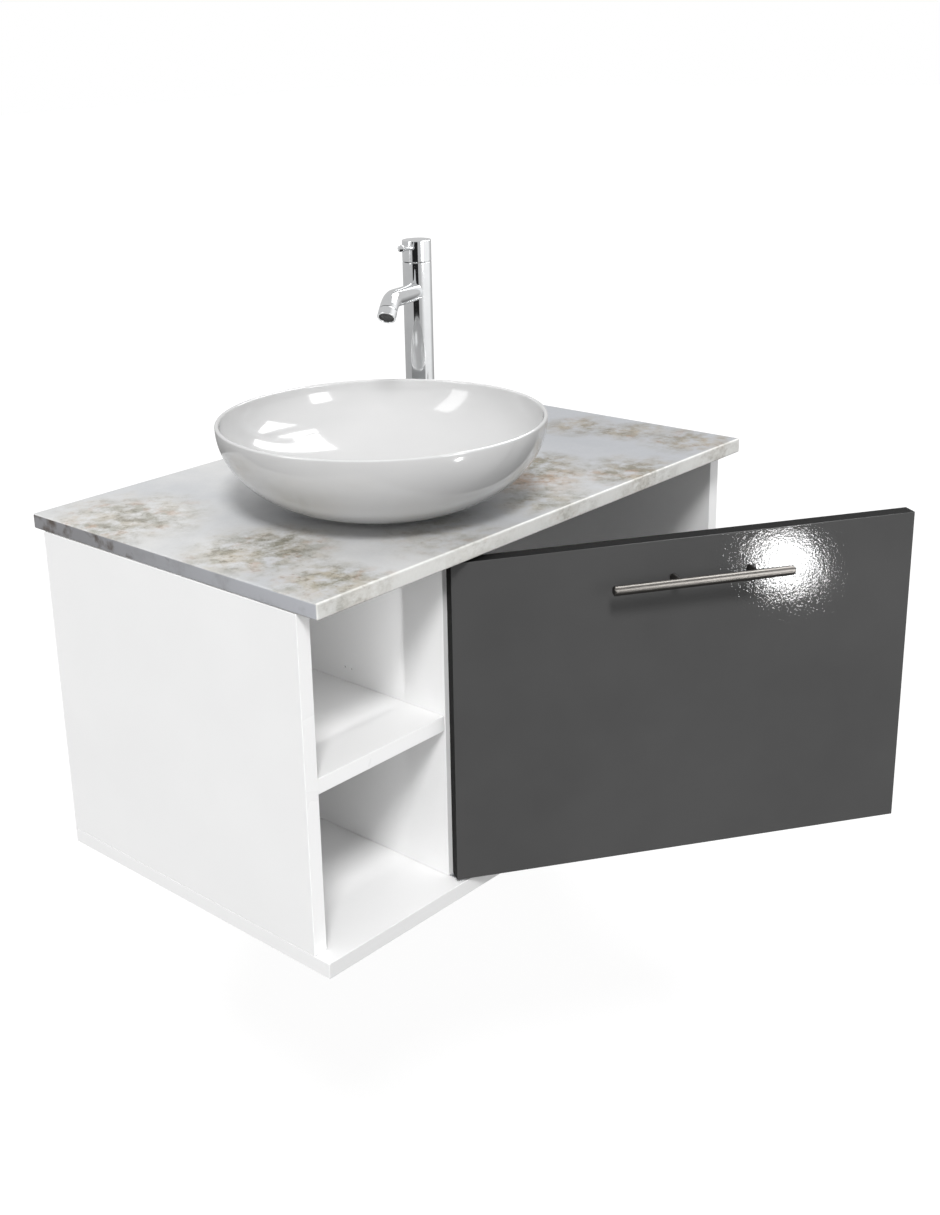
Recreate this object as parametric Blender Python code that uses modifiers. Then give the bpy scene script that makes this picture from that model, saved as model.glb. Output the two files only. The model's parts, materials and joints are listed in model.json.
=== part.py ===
"""A wall-hung vanity: open niche, one pivoting door, stone top, vessel basin and tall mixer tap.

Metres, +Z up. The wall is the plane Y = 0, the room is towards -Y, X = 0 is the middle of the
vanity and Z = 0 is the underside of the carcass. The door stands partly open.
"""

import math

import bmesh
import bpy
from mathutils import Matrix, Vector

# ---- Overall sizes -------------------------------------------------------------------------------
WIDTH = 0.800
DEPTH = 0.500
CARCASS_HEIGHT = 0.427
TOP_THICKNESS = 0.019
BOARD = 0.019
GAP = 0.0003  # between pieces that touch

# ---- Carcass -------------------------------------------------------------------------------------
FRONT_OVERHANG = 0.032
WALL_SPACE = 0.020
BACK_THICKNESS = 0.008
NICHE_WIDTH = 0.207
SHELF_TOP = 0.231
SHELF_SETBACK = 0.001
RAIL_SETBACK = 0.060
FRONT_RAIL_DEPTH = 0.050
BACK_RAIL_DEPTH = 0.060
SHELF_PIN_RADIUS = 0.0025
SHELF_PIN_REACH = 0.008
SHELF_PIN_INSET = 0.060
SPARE_HOLE_RADIUS = 0.0013
SPARE_HOLE_SETBACK = 0.152
SPARE_HOLE_SPACING = 0.011
SPARE_HOLE_HEIGHT = 0.0185  # over the shelf
PIN_CLEARANCE = 0.0003
SCREW_RADIUS = 0.002
SCREW_CLEARANCE = 0.0004
SCREW_HEAD_RADIUS = 0.004
SCREW_HEAD_HEIGHT = 0.0022

# ---- Wall fixing ---------------------------------------------------------------------------------
CLEAT_THICKNESS = 0.0177
CLEAT_HEIGHT = 0.050
CLEAT_INSET = 0.060
CLEAT_TOP = 0.424
SPACER_HEIGHT = 0.050
FIXING_HOLE_RADIUS = 0.004
FIXING_HOLE_INSET = 0.080

# ---- Door ----------------------------------------------------------------------------------------
DOOR_THICKNESS = 0.020
DOOR_REVEAL = 0.003
DOOR_END_GAP = 0.003
DOOR_SIDE_GAP = 0.002
DOOR_ANGLE = math.radians(33.0)
PIVOT_INSET = 0.007
PIVOT_PIN_RADIUS = 0.0025
PIVOT_PIN_REACH = 0.011
BUSH_WALL = 0.0013
BUSH_LENGTH = 0.012
BRACKET_THICKNESS = 0.0012
BRACKET_REACH = 0.040
BRACKET_WIDTH = 0.020
BRACKET_FLANGE = 0.026
BUFFER_RADIUS = 0.004
BUFFER_HEIGHT = 0.0022
BUFFER_INSET = 0.010

# ---- Handle --------------------------------------------------------------------------------------
HANDLE_LENGTH = 0.222
HANDLE_RADIUS = 0.0058
HANDLE_STANDOFF = 0.024
HANDLE_DROP = 0.046
HANDLE_CENTRE = 0.288  # along the door, from its pivot
POST_SPACING = 0.096
POST_SHIFT = 0.019  # from the middle of the bar
POST_RADIUS = 0.004
POST_SEAT = 0.003

# ---- Basin ---------------------------------------------------------------------------------------
BASIN_X = -0.110
BASIN_Y = -0.319
BASIN_RADIUS = 0.198
BASIN_HEIGHT = 0.110
RIM_THICKNESS = 0.005
FOOT_RADIUS = 0.050
FOOT_WIDTH = 0.010
FOOT_RECESS = 0.004
SEAL_GAP = 0.004  # round the ring under the basin
FLOOR_THICKNESS = 0.014
FLOOR_RADIUS = 0.038
BOWL_STEPS = 12
BASIN_SEGMENTS = 64

# ---- Drain and trap ------------------------------------------------------------------------------
DRAIN_RADIUS = 0.0225
DRAIN_WALL = 0.0035
DRAIN_HOLE_CLEARANCE = 0.0010
FLANGE_RADIUS = 0.033
FLANGE_THICKNESS = 0.0025
DRAIN_DROP = 0.052  # below the worktop
PLUG_RADIUS = 0.031
PLUG_THICKNESS = 0.0035
PLUG_STEM_RADIUS = 0.0035
PLUG_STEM_LENGTH = 0.040
GUIDE_WALL = 0.0025
GUIDE_LENGTH = 0.010
GUIDE_DEPTH = 0.022
SPOKE_WIDTH = 0.0025
NUT_RADIUS = 0.033
NUT_HEIGHT = 0.009
TRAP_NUT_RADIUS = 0.028
TRAP_NUT_HEIGHT = 0.020
TRAP_PIPE_RADIUS = 0.016
TRAP_PIPE_WALL = 0.002
TRAP_BODY_RADIUS = 0.029
TRAP_BODY_WALL = 0.0025
TRAP_BODY_TOP = 0.310
TRAP_BODY_HEIGHT = 0.070
TRAP_CUP_RADIUS = 0.032
TRAP_CUP_HEIGHT = 0.060
TRAP_CUP_LAP = 0.022
OUTLET_STUB = 0.030
OUTLET_LAP = 0.014
ROSETTE_RADIUS = 0.034
ROSETTE_THICKNESS = 0.008
PIPE_HOLE_RADIUS = 0.040

# ---- Tap -----------------------------------------------------------------------------------------
TAP_X = 0.098
TAP_Y = -0.194
TAP_SWING = math.radians(6.0)  # of the spout, off the line to the basin's middle
TAP_RADIUS = 0.019
TAP_WALL = 0.0035
TAP_FLANGE_RADIUS = 0.0245
TAP_FLANGE_HEIGHT = 0.005
TAP_SEAL_THICKNESS = 0.0015
TAP_BODY_HEIGHT = 0.254
TAP_BASE_HEIGHT = 0.014
CAP_HEIGHT = 0.0275
CAP_GAP = 0.0006
SPOUT_RADIUS = 0.0115
SPOUT_WALL = 0.0020
SPOUT_HEIGHT = 0.2165
SPOUT_RISE = 0.006
SPOUT_BEND_START = 0.098
SPOUT_REACH = 0.123
SPOUT_END = 0.002
SPOUT_CLEARANCE = 0.0006
SPOUT_TILT = math.radians(45.0)  # outlet below the horizontal
AERATOR_RADIUS = 0.0118
AERATOR_LENGTH = 0.011
AERATOR_RECESS = 0.0015
AERATOR_CLEARANCE = 0.0006
LEVER_HEIGHT = 0.2713  # where the pin's line meets the tap's axis
LEVER_RISE = math.radians(7.4)
LEVER_RADIUS = 0.003
LEVER_REACH = 0.067
LEVER_KNOB_RADIUS = 0.0045
LEVER_KNOB_LENGTH = 0.008
LEVER_SEAT = 0.010
CARTRIDGE_HEIGHT = 0.017
CARTRIDGE_DROP = 0.0035
STEM_RADIUS = 0.006
STEM_HEIGHT = 0.014
CAP_CAVITY = 0.0145
CAP_WALL = 0.0035
TAIL_RADIUS = 0.005
TAIL_SPACING = 0.0145
TAIL_DROP = 0.070
COUPLING_RADIUS = 0.0085
COUPLING_LENGTH = 0.016
STUD_RADIUS = 0.003
STUD_OFFSET = 0.0095
STUD_DROP = 0.040
CLAMP_RADIUS = 0.026
CLAMP_THICKNESS = 0.003
TAP_NUT_RADIUS = 0.0065
TAP_NUT_HEIGHT = 0.006
TAP_HOLE_RADIUS = 0.0175

# ---- Planes that several pieces share --------------------------------------------------------------
LEFT = -WIDTH / 2
RIGHT = WIDTH / 2
INNER_LEFT = LEFT + BOARD
INNER_RIGHT = RIGHT - BOARD
DIVIDER_LEFT = INNER_LEFT + NICHE_WIDTH
DIVIDER_RIGHT = DIVIDER_LEFT + BOARD
TOP_FRONT = -DEPTH
CARCASS_FRONT = TOP_FRONT + FRONT_OVERHANG
CARCASS_BACK = -WALL_SPACE
BACK_FACE = CARCASS_BACK - BACK_THICKNESS
FLOOR = BOARD
WORKTOP_BOTTOM = CARCASS_HEIGHT + GAP
WORKTOP = WORKTOP_BOTTOM + TOP_THICKNESS
DOOR_BOTTOM = FLOOR + DOOR_END_GAP
DOOR_TOP = CARCASS_HEIGHT - DOOR_END_GAP
DOOR_WIDTH = RIGHT - DOOR_SIDE_GAP - DIVIDER_LEFT
PIVOT_X = DIVIDER_LEFT + PIVOT_INSET
PIVOT_Y = CARCASS_FRONT - DOOR_REVEAL - DOOR_THICKNESS / 2
DOOR_FRONT = PIVOT_Y - DOOR_THICKNESS / 2
BASIN_BASE = WORKTOP + GAP
BASIN_FLOOR = BASIN_BASE + FLOOR_THICKNESS
TAP_BASE = WORKTOP + TAP_SEAL_THICKNESS + 2 * GAP
TAP_TURN = math.atan2(BASIN_Y - TAP_Y, BASIN_X - TAP_X) - TAP_SWING
DRAIN_END = WORKTOP_BOTTOM - DRAIN_DROP
OUTLET_Z = TRAP_BODY_TOP - 0.026


# ---- Scene and materials ---------------------------------------------------------------------------
def clear_scene():
    for found in list(bpy.data.objects):
        bpy.data.objects.remove(found, do_unlink=True)


def new_collection(name, hidden=False):
    made = bpy.data.collections.new(name)
    bpy.context.scene.collection.children.link(made)
    made.hide_render = hidden
    return made


def finish_of(name, colour, roughness, metallic=0.0):
    made = bpy.data.materials.new(name)
    made.use_nodes = True
    shader = made.node_tree.nodes["Principled BSDF"]
    shader.inputs["Base Color"].default_value = (*colour, 1.0)
    shader.inputs["Roughness"].default_value = roughness
    shader.inputs["Metallic"].default_value = metallic
    made.diffuse_color = (*colour, 1.0)
    return made


clear_scene()
PARTS = new_collection("parts")
CUTTERS = new_collection("cutters", hidden=True)

FINISHES = {
    "white_board": finish_of("white_board", (0.86, 0.86, 0.85), 0.45),
    "grey_gloss": finish_of("grey_gloss", (0.075, 0.078, 0.085), 0.12),
    "stone": finish_of("stone", (0.72, 0.69, 0.62), 0.25),
    "ceramic": finish_of("ceramic", (0.88, 0.88, 0.88), 0.06),
    "chrome": finish_of("chrome", (0.82, 0.83, 0.85), 0.06, 1.0),
    "nickel": finish_of("nickel", (0.60, 0.58, 0.54), 0.30, 1.0),
    "zinc": finish_of("zinc", (0.55, 0.56, 0.57), 0.35, 1.0),
    "brass": finish_of("brass", (0.68, 0.52, 0.26), 0.30, 1.0),
    "plywood": finish_of("plywood", (0.58, 0.42, 0.26), 0.60),
    "white_plastic": finish_of("white_plastic", (0.80, 0.80, 0.78), 0.35),
    "rubber": finish_of("rubber", (0.03, 0.03, 0.03), 0.80),
    "clear_rubber": finish_of("clear_rubber", (0.65, 0.66, 0.66), 0.50),
}


# ---- Modelling helpers -----------------------------------------------------------------------------
def add(name, mesh, finish, place=(0.0, 0.0, 0.0), turn=None, parent=None):
    """A named sub-part with its own copy of a finish, at a place and, if given, a turn."""
    made = bpy.data.objects.new(name, mesh)
    mesh.name = name
    own = FINISHES[finish].copy()
    own.name = name + "_finish"
    mesh.materials.clear()
    mesh.materials.append(own)
    made.location = place
    if turn is not None:
        made.rotation_euler = turn
    made.parent = parent
    PARTS.objects.link(made)
    return made


def mesh_from(build):
    """The mesh that build() leaves in an empty bmesh."""
    shape = bmesh.new()
    build(shape)
    bmesh.ops.recalc_face_normals(shape, faces=shape.faces)
    mesh = bpy.data.meshes.new("shape")
    shape.to_mesh(mesh)
    shape.free()
    return mesh


def box_mesh(size, centre=(0.0, 0.0, 0.0)):
    place = Matrix.Translation(centre) @ Matrix.Diagonal((*size, 1.0))
    return mesh_from(lambda shape: bmesh.ops.create_cube(shape, size=1.0, matrix=place))


def rod_mesh(radius, length, place=Matrix.Identity(4), segments=32, end_radius=None):
    """A cylinder or cone from the origin along +Z, then moved by place."""
    far = radius if end_radius is None else end_radius
    centred = place @ Matrix.Translation((0.0, 0.0, length / 2))
    return mesh_from(
        lambda shape: bmesh.ops.create_cone(
            shape,
            cap_ends=True,
            segments=segments,
            radius1=radius,
            radius2=far,
            depth=length,
            matrix=centred,
        )
    )


def prism_mesh(outline, length):
    """A flat outline in XY, filled and made length thick about its own plane."""
    curve = bpy.data.curves.new("outline", "CURVE")
    curve.dimensions = "2D"
    curve.fill_mode = "BOTH"
    curve.extrude = length / 2
    spline = curve.splines.new("POLY")
    spline.points.add(len(outline) - 1)
    for point, (x, y) in zip(spline.points, outline):
        point.co = (x, y, 0.0, 1.0)
    spline.use_cyclic_u = True
    return mesh_of_curve(curve)


def tube_path_mesh(points, radius, segments=12):
    """A round bar along a smooth path through the points."""
    curve = bpy.data.curves.new("path", "CURVE")
    curve.dimensions = "3D"
    curve.bevel_depth = radius
    curve.bevel_resolution = segments
    curve.use_fill_caps = True
    spline = curve.splines.new("POLY")
    spline.points.add(len(points) - 1)
    for point, place in zip(spline.points, points):
        point.co = (*place, 1.0)
    return mesh_of_curve(curve)


def mesh_of_curve(curve):
    holder = bpy.data.objects.new("curve_holder", curve)
    CUTTERS.objects.link(holder)
    bpy.context.view_layer.update()
    mesh = bpy.data.meshes.new_from_object(holder.evaluated_get(bpy.context.evaluated_depsgraph_get()))
    bpy.data.objects.remove(holder, do_unlink=True)
    shape = bmesh.new()
    shape.from_mesh(mesh)
    bmesh.ops.remove_doubles(shape, verts=shape.verts, dist=0.00001)
    bmesh.ops.recalc_face_normals(shape, faces=shape.faces)
    shape.to_mesh(mesh)
    shape.free()
    return mesh


def lathe(name, profile, finish, segments=48, closed=True, **where):
    """A Screw modifier round Z on a profile that runs down the outer side, then back up inside.

    An open profile starts and ends on the axis.
    """
    mesh = bpy.data.meshes.new("profile")
    count = len(profile)
    edges = [(i, i + 1) for i in range(count - 1)]
    if closed:
        edges.append((count - 1, 0))
    mesh.from_pydata([(r, 0.0, z) for r, z in profile], edges, [])
    made = add(name, mesh, finish, **where)
    turn = made.modifiers.new("turned", "SCREW")
    turn.axis = "Z"
    turn.angle = math.tau
    turn.steps = segments
    turn.render_steps = segments
    turn.use_merge_vertices = True
    turn.merge_threshold = 0.00001
    turn.use_smooth_shade = True
    return made


def ring_profile(outer, inner, bottom, top):
    return [(outer, top), (outer, bottom), (inner, bottom), (inner, top)]


def bevel(target, width, segments=2):
    rounded = target.modifiers.new("edges", "BEVEL")
    rounded.width = width
    rounded.segments = segments
    rounded.limit_method = "ANGLE"
    rounded.angle_limit = math.radians(40)
    return rounded


def board(name, low, high, finish="white_board", edge=0.0006, parent=None):
    """A box between two corners, with slightly eased edges."""
    low, high = Vector(low), Vector(high)
    made = add(name, box_mesh(high - low), finish, (low + high) / 2, parent=parent)
    if edge:
        bevel(made, edge, 1)
    return made


def combine(target, mesh, operation, place=None, parent=None):
    """A Boolean of target with a hidden helper that holds mesh."""
    helper = bpy.data.objects.new(f"{target.name}_{operation.lower()}", mesh)
    helper.hide_render = True
    helper.display_type = "WIRE"
    helper.parent = parent
    if place is not None:
        helper.matrix_local = place
    CUTTERS.objects.link(helper)
    joined = target.modifiers.new(operation.lower(), "BOOLEAN")
    joined.operation = operation
    joined.solver = "EXACT"
    joined.object = helper


def cut(target, mesh, place=None, parent=None):
    combine(target, mesh, "DIFFERENCE", place, parent)


def merge(target, mesh, place=None, parent=None):
    combine(target, mesh, "UNION", place, parent)


def along(axis, start):
    """The matrix that takes +Z to an axis and the origin to start."""
    turn = Vector((0.0, 0.0, 1.0)).rotation_difference(Vector(axis)).to_matrix().to_4x4()
    return Matrix.Translation(start) @ turn


def hole(target, radius, start, axis, depth, segments=24, parent=None):
    """A round hole from just outside start, depth deep along axis."""
    spare = 0.001
    begin = Vector(start) - Vector(axis).normalized() * spare
    cut(target, rod_mesh(radius, depth + spare, segments=segments), along(axis, begin), parent)


def screw(name, start, axis, length, finish="zinc", radius=SCREW_RADIUS, parent=None):
    """A pan-head screw whose head rests at start and whose shank runs along axis."""
    head = SCREW_HEAD_RADIUS
    profile = [
        (0.0, SCREW_HEAD_HEIGHT),
        (head * 0.7, SCREW_HEAD_HEIGHT),
        (head, SCREW_HEAD_HEIGHT * 0.5),
        (head, 0.0),
        (radius, 0.0),
        (radius, -length + 0.002),
        (0.0, -length),
    ]
    made = lathe(name, profile, finish, segments=20, closed=False, parent=parent)
    made.matrix_local = along(-Vector(axis), start)
    return made


# ---- Carcass ---------------------------------------------------------------------------------------
def make_panels():
    bottom = FLOOR + GAP
    board("bottom_panel", (LEFT, DOOR_FRONT, 0.0), (RIGHT, CARCASS_BACK, FLOOR))
    left = board("side_panel_left", (LEFT, CARCASS_FRONT, bottom), (INNER_LEFT, CARCASS_BACK, CARCASS_HEIGHT))
    board("side_panel_right", (INNER_RIGHT, CARCASS_FRONT, bottom), (RIGHT, CARCASS_BACK, CARCASS_HEIGHT))
    divider = board(
        "divider_panel",
        (DIVIDER_LEFT, CARCASS_FRONT, bottom),
        (DIVIDER_RIGHT, BACK_FACE - GAP, CARCASS_HEIGHT),
    )
    back = board(
        "back_panel",
        (INNER_LEFT + GAP, BACK_FACE, bottom),
        (INNER_RIGHT - GAP, CARCASS_BACK, CARCASS_HEIGHT),
        edge=0.0,
    )
    hole(back, PIPE_HOLE_RADIUS, (BASIN_X, BACK_FACE, OUTLET_Z), (0, 1, 0), BACK_THICKNESS + 0.001, 36)
    return left, divider, back


def make_rails():
    low = CARCASS_HEIGHT - BOARD
    high = CARCASS_HEIGHT - GAP
    front = CARCASS_FRONT + RAIL_SETBACK
    back = BACK_FACE - GAP
    bay = (DIVIDER_RIGHT + GAP, INNER_RIGHT - GAP)
    niche = (INNER_LEFT + GAP, DIVIDER_LEFT - GAP)
    board("top_rail_front", (bay[0], front, low), (bay[1], front + FRONT_RAIL_DEPTH, high))
    board("top_rail_back", (bay[0], back - BACK_RAIL_DEPTH, low), (bay[1], back, high))
    board("niche_rail", (niche[0], back - BACK_RAIL_DEPTH, low), (niche[1], back, high))


def make_shelf(left, divider):
    under = SHELF_TOP - BOARD
    front = CARCASS_FRONT + SHELF_SETBACK
    back = BACK_FACE - GAP
    board("niche_shelf", (INNER_LEFT + GAP, front, under), (DIVIDER_LEFT - GAP, back, SHELF_TOP))
    height = under - SHELF_PIN_RADIUS - GAP
    number = 0
    for face, wall, inward in ((INNER_LEFT, left, 1.0), (DIVIDER_LEFT, divider, -1.0)):
        for y in (front + SHELF_PIN_INSET, back - SHELF_PIN_INSET):
            number += 1
            axis = Vector((inward, 0.0, 0.0))
            start = Vector((face, y, height)) - axis * SHELF_PIN_REACH
            pin = rod_mesh(SHELF_PIN_RADIUS, 2 * SHELF_PIN_REACH - GAP, segments=20)
            made = add(f"shelf_pin_{number}", pin, "nickel")
            made.matrix_local = along(axis, start)
            bore = SHELF_PIN_RADIUS + PIN_CLEARANCE
            hole(wall, bore, (face, y, height), -axis, SHELF_PIN_REACH + PIN_CLEARANCE, 20)
    for step in range(2):
        y = CARCASS_FRONT + SPARE_HOLE_SETBACK + SPARE_HOLE_SPACING * step
        place = (DIVIDER_LEFT, y, SHELF_TOP + SPARE_HOLE_HEIGHT)
        hole(divider, SPARE_HOLE_RADIUS, place, (1, 0, 0), SHELF_PIN_REACH, 12)


# ---- Wall fixing -----------------------------------------------------------------------------------
def cleat(name, back, bottom, height, tongue, finish):
    """A bar with one edge cut at 45 degrees: the wall one on top, the cabinet one underneath."""
    front = back - CLEAT_THICKNESS
    top = bottom + height
    slope = CLEAT_THICKNESS
    if tongue == "top":
        outline = [(front, bottom), (back, bottom), (back, top - slope), (front, top)]
    else:
        outline = [(front, bottom + slope), (back, bottom), (back, top), (front, top)]
    length = WIDTH - 2 * CLEAT_INSET
    made = add(name, prism_mesh(outline, length), finish)
    made.matrix_local = Matrix(((0, 0, 1, 0), (1, 0, 0, 0), (0, 1, 0, 0), (0, 0, 0, 1)))
    return made


def make_wall_fixing(back):
    cabinet_back = CARCASS_BACK + GAP + CLEAT_THICKNESS
    upper = cleat("cabinet_cleat", cabinet_back, CLEAT_TOP - CLEAT_HEIGHT, CLEAT_HEIGHT, "bottom", "plywood")
    # The bars are offset in Y, so one slope meets the other lower by the same amount.
    slope_end = CLEAT_TOP - CLEAT_HEIGHT + CLEAT_THICKNESS + cabinet_back - 2 * GAP
    lower = cleat("wall_cleat", 0.0, slope_end - CLEAT_HEIGHT, CLEAT_HEIGHT, "top", "plywood")
    board(
        "lower_spacer",
        (LEFT + CLEAT_INSET, CARCASS_BACK + GAP, 0.0),
        (RIGHT - CLEAT_INSET, 0.0, SPACER_HEIGHT),
        "plywood",
        edge=0.0,
    )
    for side in (-1, 1):
        x = side * (RIGHT - CLEAT_INSET - FIXING_HOLE_INSET)
        fixing = (x, -CLEAT_THICKNESS, slope_end - CLEAT_HEIGHT / 2 - 0.008)
        hole(lower, FIXING_HOLE_RADIUS, fixing, (0, 1, 0), CLEAT_THICKNESS + 0.001)
        head = Vector((x, BACK_FACE - GAP, CLEAT_TOP - 0.024))
        bore = SCREW_RADIUS + SCREW_CLEARANCE
        hole(back, bore, head, (0, 1, 0), BACK_THICKNESS + 0.002, 16)
        hole(upper, bore, (head.x, CARCASS_BACK, head.z), (0, 1, 0), 0.0125, 16)
        screw(f"cleat_screw_{'left' if side < 0 else 'right'}", head, (0, 1, 0), 0.020)


# ---- Door ------------------------------------------------------------------------------------------
def make_door_pivot():
    """The empty on the door's axis: every door piece is drawn shut, from this axis, and hung on it."""
    pivot = bpy.data.objects.new("door_pivot", None)
    pivot.location = (PIVOT_X, PIVOT_Y, 0.0)
    pivot.rotation_euler = (0.0, 0.0, -DOOR_ANGLE)
    PARTS.objects.link(pivot)
    return pivot


def make_door(pivot):
    half = DOOR_THICKNESS / 2
    low = (-PIVOT_INSET, -half, DOOR_BOTTOM)
    high = (DOOR_WIDTH - PIVOT_INSET, half, DOOR_TOP)
    panel = board("door_panel", low, high, "grey_gloss", edge=0.0008, parent=pivot)
    bush = PIVOT_PIN_RADIUS + PIN_CLEARANCE + BUSH_WALL
    for label, end, axis in (("lower", DOOR_BOTTOM, 1), ("upper", DOOR_TOP, -1)):
        hole(panel, bush + PIN_CLEARANCE, (0, 0, end), (0, 0, axis), BUSH_LENGTH + GAP, 28, pivot)
        profile = ring_profile(bush, PIVOT_PIN_RADIUS + PIN_CLEARANCE, 0.0, BUSH_LENGTH)
        sleeve = lathe(f"pivot_bush_{label}", profile, "white_plastic", 28, parent=pivot)
        sleeve.location.z = end + GAP / 2 if axis > 0 else end - BUSH_LENGTH - GAP / 2
        # A thin pad on the back of the door, near its free edge, meets the side panel when it shuts.
        z = end + axis * 0.060
        pad = rod_mesh(BUFFER_RADIUS, BUFFER_HEIGHT, segments=20, end_radius=BUFFER_RADIUS * 0.75)
        made = add(f"door_buffer_{label}", pad, "clear_rubber", parent=pivot)
        made.matrix_local = along((0, 1, 0), (high[0] - BUFFER_INSET, half + GAP, z))
    return panel


def make_pivot_brackets(divider):
    front = PIVOT_Y - 0.006
    tongue_right = DIVIDER_RIGHT + BRACKET_WIDTH
    foot = DIVIDER_RIGHT + GAP
    edge = CARCASS_FRONT - 2 * GAP
    back = CARCASS_FRONT + BRACKET_REACH
    outline = [(PIVOT_X - 0.006, front), (tongue_right, front), (tongue_right, back)]
    outline += [(foot, back), (foot, edge), (PIVOT_X - 0.006, edge)]
    for label, plate, inward in (("lower", FLOOR + GAP, 1), ("upper", CARCASS_HEIGHT - GAP, -1)):
        middle = plate + inward * BRACKET_THICKNESS / 2
        bracket = add(f"pivot_bracket_{label}", prism_mesh(outline, BRACKET_THICKNESS), "zinc")
        bracket.location.z = middle
        flange = (BRACKET_THICKNESS, BRACKET_REACH - 0.004, BRACKET_FLANGE)
        centre = (foot + BRACKET_THICKNESS / 2, back - flange[1] / 2, plate + inward * BRACKET_FLANGE / 2)
        merge(bracket, box_mesh(flange), Matrix.Translation(centre))
        bore = PIVOT_PIN_RADIUS + PIN_CLEARANCE
        hole(bracket, bore, (PIVOT_X, PIVOT_Y, plate - inward * 0.001), (0, 0, inward), 0.004)
        pin = rod_mesh(PIVOT_PIN_RADIUS, DOOR_END_GAP - GAP + PIVOT_PIN_REACH, segments=24)
        made = add(f"pivot_pin_{label}", pin, "zinc")
        made.matrix_local = along((0, 0, inward), (PIVOT_X, PIVOT_Y, plate))
        face = foot + BRACKET_THICKNESS
        head = Vector((face + GAP, centre[1], plate + inward * BRACKET_FLANGE * 0.6))
        clear = SCREW_RADIUS + SCREW_CLEARANCE
        hole(bracket, clear, head, (-1, 0, 0), 0.004, 16)
        hole(divider, clear, (DIVIDER_RIGHT, head.y, head.z), (-1, 0, 0), 0.0125, 16)
        screw(f"bracket_screw_{label}", head, (-1, 0, 0), 0.0135)


def make_handle(pivot, panel):
    half = DOOR_THICKNESS / 2
    bar_y = -half - HANDLE_STANDOFF
    z = DOOR_TOP - HANDLE_DROP
    start = HANDLE_CENTRE - HANDLE_LENGTH / 2
    bar = add("handle_bar", rod_mesh(HANDLE_RADIUS, HANDLE_LENGTH, segments=32), "nickel", parent=pivot)
    bar.matrix_local = along((1, 0, 0), (start, bar_y, z))
    bevel(bar, 0.0008, 2)
    thread = SCREW_RADIUS + SCREW_CLEARANCE
    for label, side in (("left", -1), ("right", 1)):
        x = HANDLE_CENTRE + POST_SHIFT + side * POST_SPACING / 2
        reach = HANDLE_STANDOFF - HANDLE_RADIUS + POST_SEAT
        post = add(f"handle_post_{label}", rod_mesh(POST_RADIUS, reach - GAP, segments=28), "nickel", parent=pivot)
        post.matrix_local = along((0, -1, 0), (x, -half - GAP, z))
        cut(post, rod_mesh(thread, 0.011, segments=16), along((0, -1, 0), (x, -half + 0.001, z)), pivot)
        # The post sits in a blind hole in the back of the bar.
        seat = along((0, -1, 0), (x, -half - reach + POST_SEAT + 0.002, z))
        seat_length = POST_SEAT + 0.002 + GAP
        cut(bar, rod_mesh(POST_RADIUS + PIN_CLEARANCE, seat_length, segments=28), seat, pivot)
        hole(panel, thread, (x, half, z), (0, -1, 0), DOOR_THICKNESS + 0.001, 16, pivot)
        screw(f"handle_screw_{label}", (x, half + GAP, z), (0, -1, 0), DOOR_THICKNESS + 0.008, parent=pivot)


# ---- Worktop and basin -----------------------------------------------------------------------------
def make_worktop():
    top = board("countertop", (LEFT, TOP_FRONT, WORKTOP_BOTTOM), (RIGHT, 0.0, WORKTOP), "stone", edge=0.0)
    bevel(top, 0.0018, 3)
    drain = DRAIN_RADIUS + DRAIN_HOLE_CLEARANCE
    hole(top, drain, (BASIN_X, BASIN_Y, WORKTOP), (0, 0, -1), TOP_THICKNESS + 0.001, 40)
    hole(top, TAP_HOLE_RADIUS, (TAP_X, TAP_Y, WORKTOP), (0, 0, -1), TOP_THICKNESS + 0.001, 36)


def bowl_curve(inner_radius, outer_radius, low, high, steps):
    """Points of a quarter ellipse from the rim down to the floor of a bowl."""
    points = []
    for step in range(steps + 1):
        angle = math.radians(90) * step / steps
        radius = inner_radius + (outer_radius - inner_radius) * math.cos(angle)
        points.append((radius, high - (high - low) * math.sin(angle)))
    return points


def make_basin():
    rim = BASIN_HEIGHT - RIM_THICKNESS / 2
    outside = bowl_curve(FOOT_RADIUS, BASIN_RADIUS, 0.0, rim, BOWL_STEPS)
    inside = bowl_curve(FLOOR_RADIUS, BASIN_RADIUS - RIM_THICKNESS, FLOOR_THICKNESS, rim, BOWL_STEPS)
    middle = BASIN_RADIUS - RIM_THICKNESS / 2
    lip = []
    for step in range(1, 6):
        angle = math.radians(180) * step / 6
        lip.append((middle - RIM_THICKNESS / 2 * math.cos(angle), rim + RIM_THICKNESS / 2 * math.sin(angle)))
    drain = DRAIN_RADIUS + DRAIN_HOLE_CLEARANCE
    recess = FOOT_RADIUS - FOOT_WIDTH
    foot = [(recess, 0.0), (recess - 0.002, FOOT_RECESS), (drain, FOOT_RECESS), (drain, FLOOR_THICKNESS)]
    profile = outside + foot + list(reversed(inside)) + lip
    lathe("basin", profile, "ceramic", BASIN_SEGMENTS, place=(BASIN_X, BASIN_Y, BASIN_BASE))
    seal = ring_profile(recess - SEAL_GAP, drain + SEAL_GAP, 0.0, FOOT_RECESS - 2 * GAP)
    lathe("basin_seal", seal, "clear_rubber", 40, place=(BASIN_X, BASIN_Y, BASIN_BASE + GAP))


# ---- Drain and trap --------------------------------------------------------------------------------
def hex_nut(name, radius, bore, height, place, finish):
    """A six-sided nut with a round hole."""
    made = add(name, rod_mesh(radius, height, segments=6), finish, place)
    cutter = rod_mesh(bore, height + 0.002, Matrix.Translation((0, 0, -0.001)), segments=40)
    cut(made, cutter, Matrix.Translation(place))
    return made


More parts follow.
